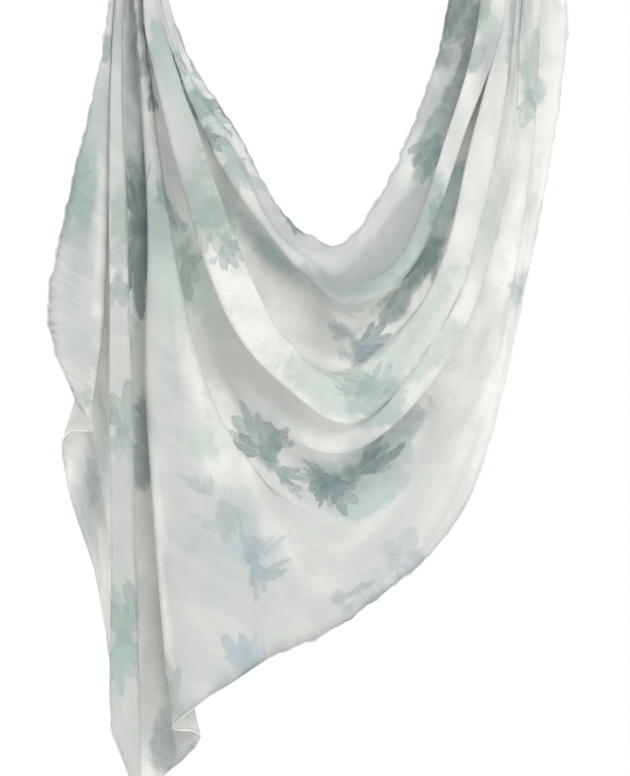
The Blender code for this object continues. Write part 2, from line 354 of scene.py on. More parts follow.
def smooth_rows(table, corner=None):
    """Join stations by cubics whose slope is half the step between the neighbours.

    table is (line, station, value); the result is (row, line, value). At a
    corner the cubic keeps the direction of its own span.
    """
    places = np.asarray(table, float)
    slopes = np.empty_like(places)
    slopes[:, 1:-1] = (places[:, 2:] - places[:, :-2]) / 2
    slopes[:, 0] = places[:, 1] - places[:, 0]
    slopes[:, -1] = places[:, -1] - places[:, -2]
    last_span = places.shape[1] - 2
    spans = []
    for span in range(last_span + 1):
        t = np.linspace(0, 1, ROWS_PER_SPAN + 1)[:None if span == last_span else -1, None, None]
        start, end = places[:, span], places[:, span + 1]
        leave, arrive = slopes[:, span].copy(), slopes[:, span + 1].copy()
        if corner is not None and corner[1] in (span, span + 1):
            chosen = arrive if corner[1] == span + 1 else leave
            chosen[corner[0]] = (end - start)[corner[0]]
        spans.append((2 * t**3 - 3 * t**2 + 1) * start + (t**3 - 2 * t**2 + t) * leave
                     + (3 * t**2 - 2 * t**3) * end + (t**3 - t**2) * arrive)
    return np.concatenate(spans)


print("rows down the swag:", len(smooth_rows(list(SWAG_LINES.values()))))

# %% The folded surface
COLUMNS_PER_FOLD = 22
LEVEL_PART = 0.19        # part of a pressed fold's turn that stays level before it falls away
FADE_DEPTH = 8 * MM      # a fold shallower than this loses its overlap


def unit(vectors):
    """Vectors of length one."""
    return vectors / np.maximum(np.linalg.norm(vectors, axis=-1, keepdims=True), 1e-9)


def fade(value, low, high):
    """0 below low, 1 above high, and smooth between: 3 t squared less 2 t cubed."""
    t = np.clip((value - low) / (high - low), 0, 1)
    return t * t * (3 - 2 * t)


def folded_surface(lines, depths, overlaps, sharpness, corner=None):
    """The folded cloth as (row, column, xyz).

    With part going from 0 to 1 across a panel, the place slides from line to line by
    part less sharp times sin(2 pi part) / 2 pi, which slows it at the lines of a
    sharp fold. The depth fades from panel to panel round each line, and tuck times
    sin(2 pi turned) pushes the nearer layer out over the farther one.
    """
    line_rows = smooth_rows(list(lines.values()), corner) * MM
    level_rows, tuck_rows, sharp_rows = (
        smooth_rows(np.array(list(table.values()))[..., None])[..., 0]
        for table in (depths, overlaps, sharpness))
    level_rows, tuck_rows = level_rows * MM, tuck_rows * MM

    along = unit(np.gradient(line_rows, axis=0))
    across = np.stack([along[..., 1], -along[..., 0]], axis=-1)
    outward = line_rows[:, -1] - line_rows[:, 0]
    across *= np.sign(np.sum(across * outward[:, None], axis=-1, keepdims=True))
    step = np.diff(level_rows, axis=1)
    tuck = np.maximum(tuck_rows, 0) * (1 - np.exp(-(step / FADE_DEPTH) ** 2))
    line_rows[:, 1:-1] -= (tuck * np.tanh(step / FADE_DEPTH))[..., None] * across[:, 1:-1]

    folds = len(overlaps)
    phase = np.linspace(0, folds, folds * COLUMNS_PER_FOLD + 1)
    fold = np.minimum(phase.astype(int), folds - 1)
    turned = phase - fold
    panel = np.floor(phase + 0.5).astype(int)
    part = phase + 0.5 - panel
    sharp = sharp_rows[:, fold]
    slide = part - sharp * np.sin(2 * math.pi * part) / (2 * math.pi)
    slide = np.where(panel == 0, 2 * (slide - 0.5), slide)
    slide = np.where(panel == folds, 2 * slide, slide)
    places = line_rows[:, panel] + slide[..., None] * (line_rows[:, panel + 1] - line_rows[:, panel])
    places = places + ((tuck[:, fold] * np.sin(2 * math.pi * turned))[..., None]
                       * across[:, 1:-1][:, fold])
    level_part = LEVEL_PART * sharp
    fall = fade(turned, level_part, 1 - level_part)
    depth = level_rows[:, fold] + fall * (level_rows[:, fold + 1] - level_rows[:, fold])
    return np.stack([places[..., 0], depth, places[..., 1]], axis=-1)


swag = folded_surface(SWAG_LINES, SWAG_DEPTHS, SWAG_OVERLAPS, SWAG_SHARPNESS,
                      corner=(len(SWAG_LINES) - 1, HEEL))
cascade = folded_surface(CASCADE_LINES, CASCADE_DEPTHS, CASCADE_OVERLAPS, CASCADE_SHARPNESS)
print("swag grid", swag.shape[:2], "near end", cascade.shape[:2])

# %% [markdown]
# ## Over the hold, and the tail
#
# The gathers bend over a round hold like a rope over a rail. Each point keeps its
# distance from the hold's centre while it turns half a circle. Behind, the tail
# falls free: its gathers open and deepen, and its end is cut at a slant, because
# the lower edge has farther to come than the neckline.

# %% The loop and the tail
CUT = (0.70, 1.65)                 # the rectangle's width and its long edges
HOLD_DEPTH = 34 * MM
LOOP_ROWS = 30
TAIL_ROWS = 54
TAIL_DRIFT = -20 * MM
TAIL_OPENING = 1.15
TAIL_DEEPENING = 1.7


def lengths(grid, axis):
    """Distance along a grid's rows or columns, from its first one."""
    steps = np.linalg.norm(np.diff(grid, axis=axis), axis=-1)
    start = np.zeros_like(np.take(steps, [0], axis=axis))
    return np.concatenate([start, np.cumsum(steps, axis=axis)], axis=axis)


def left_over(section):
    """What is left of the neckline edge and of the lower edge, past the loop.

    It is the cut's length less the edge's way down the near end, its way along the
    swag, and its way over the hold, which is reckoned a little long.
    """
    over = math.pi / 2 * (2 * HOLD_DEPTH - section[[0, -1], 1])
    corner = int(1.5 * COLUMNS_PER_FOLD)
    down = lengths(swag, 0)
    neckline = lengths(cascade, 0)[-1, -1] + down[-1, 0] + over[0]
    lower = lengths(cascade, 1)[-1, corner] + down[-1, -1] - down[HEEL * ROWS_PER_SPAN, -1] + over[1]
    return CUT[1] - neckline, CUT[1] - lower


def loop_and_tail(section):
    """Turn the gathers half a circle about the hold, then let them fall straight."""
    angle = np.linspace(0, math.pi, LOOP_ROWS + 1)[1:, None]
    radius = HOLD_DEPTH - section[:, 1]
    loop = np.stack([np.broadcast_to(section[:, 0], (LOOP_ROWS, len(radius))),
                     HOLD_DEPTH - radius * np.cos(angle),
                     section[:, 2] + radius * np.sin(angle)], axis=-1)
    top = loop[-1]
    share = lengths(section, 0) / lengths(section, 0)[-1]
    shorter, longer = left_over(section)
    length = shorter + share * (longer - shorter)
    down = np.linspace(0, 1, TAIL_ROWS + 1)[1:, None]
    middle = top.mean(axis=0)
    even = np.linspace(top[0, 0], top[-1, 0], len(top))
    spread = top[:, 0] + down * (even - top[:, 0])
    x = middle[0] + (1 + (TAIL_OPENING - 1) * down) * (spread - middle[0]) + TAIL_DRIFT * down**2
    y = middle[1] + (1 + (TAIL_DEEPENING - 1) * down) * (top[:, 1] - middle[1])
    return np.concatenate([loop, np.stack([x, y, top[:, 2] - length * down], axis=-1)])


swag_rows = len(swag)
print("left for the tail:", [round(x, 3) for x in left_over(swag[-1])])
swag = np.concatenate([swag, loop_and_tail(swag[-1])])
print("rows from the pinch to the tail's end:", len(swag))

# %% [markdown]
# ## One cloth
#
# The swag and the near end share the broad fold's line, so the two grids are
# sewn into one mesh there. Two lengths are measured on the cloth itself: `run`,
# down a column from the pinch, and `girth`, along a row from the neckline. They
# are the cloth's own map, for its weave, print and creases.

# %% Sew the two grids together
heel_row = HEEL * ROWS_PER_SPAN
swag_columns, cascade_columns = swag.shape[1], cascade.shape[1]
swag_index = np.arange(swag.shape[0] * swag_columns).reshape(swag.shape[:2])
new_points = np.arange((heel_row + 1) * (cascade_columns - 1)).reshape(heel_row + 1, -1)
cascade_index = np.column_stack([swag_index[:heel_row + 1, -1], swag_index.size + new_points])
points = np.concatenate([swag.reshape(-1, 3), cascade[:, 1:].reshape(-1, 3)])


def quads(index):
    """Four-sided faces of a grid of point numbers."""
    return np.stack([index[:-1, :-1], index[1:, :-1], index[1:, 1:], index[:-1, 1:]],
                    axis=-1).reshape(-1, 4)


faces = np.concatenate([quads(swag_index), quads(cascade_index)])
print(len(points), "points", len(faces), "faces")

# %% The cloth's own map
def on_points(on_swag, on_cascade):
    """A value on both grids, as one array over the cloth's points."""
    return np.concatenate([on_swag.ravel(), on_cascade[:, 1:].ravel()])


run = on_points(lengths(swag, 0), lengths(cascade, 0))
swag_girth = lengths(swag, 1)
girth = on_points(swag_girth, swag_girth[:heel_row + 1, -1:] + lengths(cascade, 1))
folds_across = len(SWAG_OVERLAPS)
swag_phase = np.linspace(0, folds_across, swag_columns)
cascade_phase = folds_across + np.linspace(0, len(CASCADE_OVERLAPS), cascade_columns)
phase = on_points(np.broadcast_to(swag_phase, swag.shape[:2]),
                  np.broadcast_to(cascade_phase, cascade.shape[:2]))
row = on_points(np.broadcast_to(np.arange(len(swag))[:, None], swag.shape[:2]),
                np.broadcast_to(np.arange(len(cascade))[:, None], cascade.shape[:2]))
print("longest column:", round(float(run.max()), 2), "m, longest row:", round(float(girth.max()), 2), "m")

# %% [markdown]
# ## Finding a place on the cloth
#
# Creases and blooms are easiest to place where they show from the front, but they
# must lie along the cloth and follow it round a fold. So a place is looked up on
# the cloth that shows there, and a small flat map is opened round it, measured
# along the cloth's own rows and columns. A projection from the front would be
# simpler, but it would smear over every fold that turns away.

# %% What shows and what hides
CELL = 4 * MM            # width of the columns of view in which the nearest cloth is looked for
COVERED = 6 * MM         # how far behind the nearest cloth a point has to lie to be hidden
LOOK_ROUND = 4 * MM      # how far from a place its cloth is looked for


def shown_at(x, z):
    """The cloth's frontmost point near a place seen from the front."""
    near = (points[:, 0] - x * MM) ** 2 + (points[:, 2] - z * MM) ** 2
    close = np.flatnonzero(near < max(near.min() * 1.5, LOOK_ROUND ** 2))
    return int(close[np.argmin(points[close, 1])])


def out_of_sight():
    """Whether other cloth lies in front of each point: its depth less the least in its cell."""
    cell = np.round(points[:, [0, 2]] / CELL).astype(int)
    cell -= cell.min(axis=0)
    cell = cell[:, 0] * (cell[:, 1].max() + 1) + cell[:, 1]
    front = np.full(cell.max() + 1, np.inf)
    np.minimum.at(front, cell, points[:, 1])
    return points[:, 1] - front[cell] > COVERED


hidden = out_of_sight()
print("out of sight:", round(float(hidden.mean()), 2), "of the cloth")

# %% Small flat maps on the folded cloth
swag_run, cascade_run = lengths(swag, 0), lengths(cascade, 0)
cascade_girth = swag_girth[:heel_row + 1, -1:] + lengths(cascade, 1)
FAR = 9.0                # metres: stands for a place the map does not reach


def grid_place(point):
    """Which grid a point is on, and its row and column there."""
    if point < swag_index.size:
        return "swag", point // swag_columns, point % swag_columns
    left = point - swag_index.size
    return "cascade", left // (cascade_columns - 1), left % (cascade_columns - 1) + 1


def flat_map(point, aim):
    """Distances (across, along) from a point, measured on the cloth, with along turned to aim.

    Down a column r is the run less the run where the point's row crosses. Along a
    row g is the girth less the girth where the point's column crosses. The two
    ways meet at an angle a, so the flat place is (g + r cos a, r sin a).
    """
    where, r, c = grid_place(point)
    grid = swag if where == "swag" else cascade
    on_swag = np.full((*swag.shape[:2], 2), FAR)
    on_cascade = np.full((*cascade.shape[:2], 2), FAR)
    shared = slice(0, heel_row + 1)
    if where == "swag":
        on_swag[..., 0] = swag_girth - swag_girth[:, c:c + 1]
        on_swag[..., 1] = swag_run - swag_run[r]
        if r <= heel_row:
            on_cascade[..., 0] = cascade_girth - swag_girth[shared, c:c + 1]
            on_cascade[..., 1] = cascade_run - cascade_run[r]
    else:
        on_cascade[..., 0] = cascade_girth - cascade_girth[:, c:c + 1]
        on_cascade[..., 1] = cascade_run - cascade_run[r]
        on_swag[shared, :, 0] = swag_girth[shared] - cascade_girth[:, c:c + 1]
        on_swag[shared, :, 1] = swag_run[shared] - swag_run[r]
    g = on_points(on_swag[..., 0], on_cascade[..., 0])
    r_down = on_points(on_swag[..., 1], on_cascade[..., 1])

    r0, r1 = max(r - 2, 0), min(r + 2, len(grid) - 1)
    c0, c1 = max(c - 2, 0), min(c + 2, grid.shape[1] - 1)
    down = unit(grid[r1, c] - grid[r0, c])
    across = unit(grid[r, c1] - grid[r, c0])
    cosine = float(np.clip(down @ across, -0.9, 0.9))
    sine = math.sqrt(1 - cosine**2)
    flat = np.column_stack([g + r_down * cosine, r_down * sine])
    square = (down - cosine * across) / sine
    wanted = np.array([math.sin(math.radians(aim)), 0, math.cos(math.radians(aim))])
    part = unit(np.array([wanted @ across, wanted @ square]))
    side = 1 if across[0] * square[2] - across[2] * square[0] > 0 else -1
    return np.column_stack([side * (flat[:, 0] * part[1] - flat[:, 1] * part[0]), flat @ part])


trial = flat_map(shown_at(158, -586), aim=0)
print("points within 50 mm of a trial place:", int((np.linalg.norm(trial, axis=1) < 50 * MM).sum()))

# %% [markdown]
# ## Small folds, creases and ruffles
#
# The main folds alone look like card. Real chiffon gathers finely where it is
# held, undulates unevenly between, keeps soft creases where it was bunched, and
# flutters along its hem. Each is a height over the cloth's map, faded in and out
# by where it belongs, and the points move along the cloth's own normals.

# %% Uneven waves
WAVES = 6                # sines summed in one uneven value
CREST = 2.6              # about the most that they reach together


def waver(x, y, size, seed):
    """A smooth uneven value, about -1 to 1: a few sines of random direction summed."""
    chance = np.random.default_rng(seed)
    total = np.zeros_like(x)
    for _ in range(WAVES):
        angle, pace = chance.uniform(0, 2 * math.pi), chance.uniform(0.6, 1.5)
        total += np.sin(2 * math.pi * pace / size * (x * math.cos(angle) + y * math.sin(angle))
                        + chance.uniform(0, 2 * math.pi))
    return total / CREST


print("an uneven value is", WAVES, "sines summed")

# %% Gathers, pleats and ripples
GATHER_HEIGHT = 0.9 * MM
HOLD_PLEATS = 1.2 * MM
TAIL_PLEATS = 9.0 * MM
RIPPLE_HEIGHT = 1.5 * MM
NEAR_HOLD_ROWS = 2.2 * ROWS_PER_SPAN
TAIL_START_ROWS = 12     # rows past the loop in which the tail's pleats grow
TURN_CALM = 0.75         # how much calmer the ripples are where the cloth turns
TURN_WIDTH = 0.16        # width of that calm, in phase

# Gathers are a sine across the phase that lives just under the pinch. Pleats are another,
# by the hold and in the tail. Ripples are an uneven value that calms at every turn.
hold_row = swag_rows - 1
in_swag = phase <= folds_across
near_hold = fade(row, hold_row - NEAR_HOLD_ROWS, hold_row) * in_swag
in_tail = fade(row, hold_row + LOOP_ROWS, hold_row + LOOP_ROWS + TAIL_START_ROWS) * in_swag
away_from_turn = 1 - TURN_CALM * np.exp(-(((phase % 1) - 0.5) / TURN_WIDTH) ** 2)

by_pinch = fade(run, 0.0, 0.04) * (1 - fade(run, 0.06, 0.20))
gathers = GATHER_HEIGHT * by_pinch * np.sin(2 * math.pi * (2.1 * phase
                                                           + 0.5 * waver(phase, run, 0.2, 3)))
pleats = ((HOLD_PLEATS * near_hold + TAIL_PLEATS * in_tail)
          * np.sin(2 * math.pi * (3.1 * phase + 0.4 * waver(phase, run, 0.25, 5))))
ripples = (RIPPLE_HEIGHT * (1 - 0.7 * near_hold) * fade(run, 0.15, 0.35)
           * waver(phase / 2.0, run / 0.30, 1.0, 11) * away_from_turn)
for name, heights in (("gathers", gathers), ("pleats", pleats), ("ripples", ripples)):
    print(name, "up to", round(float(np.abs(heights).max() / MM), 1), "mm")

# %% A soft patch
def patch(point, aim, across, along):
    """A soft patch along the cloth: 1 at its middle, falling off as a bell curve."""
    flat = flat_map(point, aim) / (np.array([across, along]) * MM)
    return np.exp(-np.sum(flat**2, axis=1))


trial = patch(shown_at(158, -586), aim=0, across=50, along=50)
print("a patch of 50 mm takes up", round(float((trial > 0.5).mean()), 3), "of the cloth's points")

# %% Creases placed one by one
CREASES = {
    # name: (x, z, aim, half width, half length, height); a minus height is a trough
    "body_ridge": (158, -586, 152, 9, 62, 4.6),
    "body_trough": (138, -600, 158, 9, 56, -3.8),
    "body_ridge_low": (196, -626, 140, 10, 52, 3.8),
    "body_trough_low": (176, -640, 150, 8, 40, -3.2),
    "skirt_fan": (104, -672, 168, 12, 60, 4.2),
    "skirt_fan_trough": (82, -664, 172, 10, 56, -3.8),
    "skirt_low": (132, -700, 150, 10, 34, -2.2),
    "right_sweep": (300, -540, 42, 11, 84, -3.4),
    "right_sweep_ridge": (322, -520, 38, 9, 70, 3.0),
    "right_climb": (352, -430, 24, 9, 80, 2.2),
    "right_climb_trough": (338, -440, 27, 8, 64, -2.0),
    "broad_soft": (58, -420, 172, 11, 90, -3.0),
    "broad_soft_ridge": (36, -470, 176, 10, 96, 2.8),
    "broad_low": (62, -600, 172, 12, 80, 3.4),
    "broad_low_trough": (44, -640, 174, 9, 70, -3.2),
    "foot": (52, -760, 170, 9, 40, -2.0),
    "broad_upper": (22, -240, 172, 7, 60, -1.5),
    "band_soft": (104, -350, 150, 8, 60, 1.6),
    "band_low": (180, -438, 118, 7, 50, -1.8),
    "band_rise": (286, -382, 45, 8, 50, 1.8),
    "band_climb": (338, -262, 26, 7, 60, -1.6),
    "valley_sweep": (150, -352, 135, 9, 64, 2.6),
    "valley_sweep_low": (196, -392, 112, 9, 50, -2.4),
    "valley_rise": (262, -352, 45, 8, 46, 2.0),
    "neck_roll": (168, -304, 112, 7, 40, 1.6),
    "neck_fall": (92, -206, 146, 6, 50, -1.3),
    "neck_climb": (276, -226, 28, 7, 56, 1.5),
    "pipe_soft": (-8, -420, 178, 6, 80, -1.6),
    "pipe_foot": (-4, -760, 178, 8, 60, 1.8),
    "flap_sweep": (-56, -330, 172, 9, 70, 2.2),
    "flap_trough": (-42, -300, 174, 7, 66, -1.8),
    "flap_low": (-56, -425, 150, 8, 34, 1.8),
    "back_sweep": (-44, -560, 168, 7, 70, -1.6),
    "strip_soft": (404, -230, 8, 8, 90, 1.8),
    "strip_trough": (386, -330, 16, 8, 70, -1.8),
    "strip_edge": (376, -200, 10, 5, 90, -2.6),
    "crumple": (4, -92, 78, 6, 12, 1.8),
    "crumple_low": (8, -108, 72, 6, 12, -1.6),
    "crumple_mid": (10, -124, 80, 6, 13, 1.6),
    "crumple_last": (14, -142, 74, 6, 12, -1.4),
}
print(len(CREASES), "creases by hand")

# %% Creases out of sight, and all of them summed
HIDDEN_CREASES = 30
CREASE_SEED = 77


def hidden_creases():
    """More creases at chance places, for the layers and the back that the front hides."""
    chance = np.random.default_rng(CREASE_SEED)
    return sum(chance.uniform(1.4, 2.6) * (-1) ** n
               * patch(int(chance.integers(len(points))), chance.uniform(-25, 25) + 180 * (n % 2),
                       chance.uniform(7, 11), chance.uniform(40, 80)) for n in range(HIDDEN_CREASES))


creases = MM * sum(height * patch(shown_at(x, z), aim, wide, long)
                   for x, z, aim, wide, long, height in CREASES.values())
creases = creases + MM * hidden_creases()
print("creases up to", round(float(np.abs(creases).max() / MM), 1), "mm")

# %% Ruffles along the hems
FLUTTER_HEIGHT = 2.4 * MM
FLUTTER_LENGTH = 34 * MM           # from one flute to the next
FLUTTER_REACH = 12 * MM            # how far in from the hem it dies away
RAGGED_HEIGHT = 1.1 * MM
RAGGED_LENGTH = 19 * MM
RAGGED_REACH = 5 * MM


def hem_distance():
    """Distance from each point to the nearest long edge or end of the cloth."""
    swag_out = swag_girth[:, -1:] - swag_girth
    swag_out[:heel_row + 1] = FAR
    on_swag = np.minimum(swag_girth, swag_out)
    on_swag = np.minimum(on_swag, swag_run[-1:] - swag_run)
    across = lengths(cascade, 1)
    on_cascade = np.minimum(across[:, -1:] - across, cascade_run[-1:] - cascade_run)
    return on_points(on_swag, on_cascade)


to_hem = hem_distance()
flutter = (FLUTTER_HEIGHT * np.exp(-to_hem / FLUTTER_REACH)
           * fade(run, 0.05, 0.16) * (1 - 0.7 * near_hold)
           * (np.sin(2 * math.pi * (run + girth) / FLUTTER_LENGTH + 3 * waver(run, girth, 0.15, 21))
              * (0.6 + 0.4 * waver(run, girth, 0.12, 22))))


def edgeward():
    """Unit vectors along the rows, out through whichever long edge is the nearer."""
    first, last = unit(swag[:, :1] - swag[:, 2:3]), unit(swag[:, -1:] - swag[:, -3:-2])
    nearer = (swag_girth < swag_girth[:, -1:] / 2)[..., None]
    side = np.broadcast_to(unit(cascade[:, -1:] - cascade[:, -3:-2]), cascade.shape)
    both = np.where(nearer, first, last)
    return np.concatenate([both.reshape(-1, 3), side[:, 1:].reshape(-1, 3)])


ragged = (RAGGED_HEIGHT * np.exp(-to_hem / RAGGED_REACH)
          * fade(run, 0.01, 0.04) * (1 - 0.8 * near_hold)
          * waver(run, girth * 0, RAGGED_LENGTH, 71))[:, None] * edgeward()
print("flutter up to", round(float(np.abs(flutter).max() / MM), 1), "mm")

# %% The cloth's mesh
cloth_mesh = bpy.data.meshes.new("hijab_cloth")
cloth_mesh.from_pydata(points.tolist(), [], faces.tolist())
normals = np.empty(len(points) * 3, np.float32)
cloth_mesh.vertex_normals.foreach_get("vector", normals)
normals = normals.reshape(-1, 3)
shaped = points + (gathers + pleats + ripples + creases + flutter)[:, None] * normals + ragged
cloth_mesh.vertices.foreach_set("co", shaped.astype(np.float32).ravel())
cloth_mesh.shade_smooth()
cloth_mesh.update()
cloth = bpy.data.objects.new("hijab_cloth", cloth_mesh)
bpy.context.scene.collection.objects.link(cloth)


def cloth_area():
    """Area of one side of the cloth."""
    corners = shaped[faces]
    diagonals = np.cross(corners[:, 2] - corners[:, 0], corners[:, 3] - corners[:, 1])
    return float(np.linalg.norm(diagonals, axis=1).sum() / 2)


print("cloth hung:", round(cloth_area(), 3), "m2 of", round(CUT[0] * CUT[1], 3), "m2 cut")

# %% [markdown]
# ## Thickness
#
# Chiffon is about 0.2 mm thick. A Solidify modifier gives the mesh two faces with
# that cloth between them, a little thicker than real so that light is caught
# between the faces cleanly. It is simpler than a second grid by hand.

# %% Thickness
WALL = 0.4 * MM
wall = cloth.modifiers.new("wall", "SOLIDIFY")
wall.thickness = WALL
wall.offset = 0
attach(cloth, "root")
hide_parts("swag_cloth", "side_cascade", "tail_cloth")
print("wall:", WALL / MM, "mm")

# %% [markdown]
# ## The rolled hem
#
# The edge of a chiffon scarf is rolled over and sewn by hand, which leaves a
# thin, slightly lumpy roll of cloth. One tube runs round the whole cut, and its
# thickness wavers.

# %% Roll the hem
HEM_RADIUS = 0.8 * MM
HEM_SIDES = 8
HEM_LUMPS = 14 * MM      # from one lump to the next
HEM_SEED = 31


def rolled(path):
    """A closed tube round a path: a circle in each point's cross-plane, of uneven radius."""
    along = unit(np.roll(path, -1, axis=0) - np.roll(path, 1, axis=0))
    across = np.empty_like(along)
    across[:] = (0, 1, 0)
    across = unit(across - np.sum(across * along, axis=1, keepdims=True) * along)
    third = np.cross(along, across)
    travelled = lengths(path, 0)
    lumpy = waver(travelled, travelled * 0, HEM_LUMPS, HEM_SEED)
    radius = HEM_RADIUS * (1 + 0.3 * lumpy)
    turn = np.linspace(0, 2 * math.pi, HEM_SIDES, endpoint=False)
    ring = (np.cos(turn)[None, :, None] * across[:, None]
            + np.sin(turn)[None, :, None] * third[:, None])
    return path[:, None] + radius[:, None, None] * ring


print("rolled hem:", 2 * HEM_RADIUS / MM, "mm thick")

# %% Round the whole cut
edge = np.concatenate([
    swag_index[:, 0],
    swag_index[-1, 1:],
    swag_index[heel_row:-1, -1][::-1],
    cascade_index[-1, 1:],
    cascade_index[:-1, -1][::-1],
])
tube = rolled(shaped[edge])
index = np.arange(tube.shape[0] * HEM_SIDES).reshape(tube.shape[:2])
index = np.concatenate([index, index[:1]])
index = np.concatenate([index, index[:, :1]], axis=1)
hem_mesh = bpy.data.meshes.new("rolled_hem")
hem_mesh.from_pydata(tube.reshape(-1, 3).tolist(), [], quads(index)[:, ::-1].tolist())
hem_mesh.shade_smooth()
hem = bpy.data.objects.new("rolled_hem", hem_mesh)
bpy.context.scene.collection.objects.link(hem)
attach(hem, "root")
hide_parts("neckline_hem", "lower_hem", "side_hem", "corner_hem", "end_hem",
            "tail_neckline_hem", "tail_lower_hem", "tail_end_hem")
print("hem:", round(float(lengths(shaped[edge], 0)[-1]), 2), "m round")

# %% [markdown]
# ## Laying out the print
#
# The print is painted by hand first: a cream ground that greys in clouds, soft
# washes, and over them loose blooms, each a fan of broad wet strokes from one
# heart. Here a bloom is a row in a table: where its heart shows from the front,
# which way it points, how far it reaches and how many strokes it has. Every bloom
# gets a small flat map of its own round its heart, measured along the cloth, so
# it bends and breaks with the folds as a real print does.

# %% The dyes
DYES = {
    "cream": dye(242, 242, 238),
    "dusk": dye(116, 132, 129),
    "deep_teal": dye(120, 142, 141),
    "teal": dye(140, 161, 159),
    "pale_teal": dye(172, 194, 189),
    "sage": dye(164, 182, 173),
    "pale_sage": dye(200, 212, 204),
    "blue": dye(148, 166, 173),
    "pale_blue": dye(190, 201, 205),
    "lavender": dye(184, 189, 196),
    "grey": dye(164, 173, 172),
    "mist": dye(208, 210, 207),
    # This neutral grey is the colour of painted shade in the recess of the neck roll.
    "painted_shade_grey": dye(182, 184, 180),
}
print(len(DYES), "dyes")

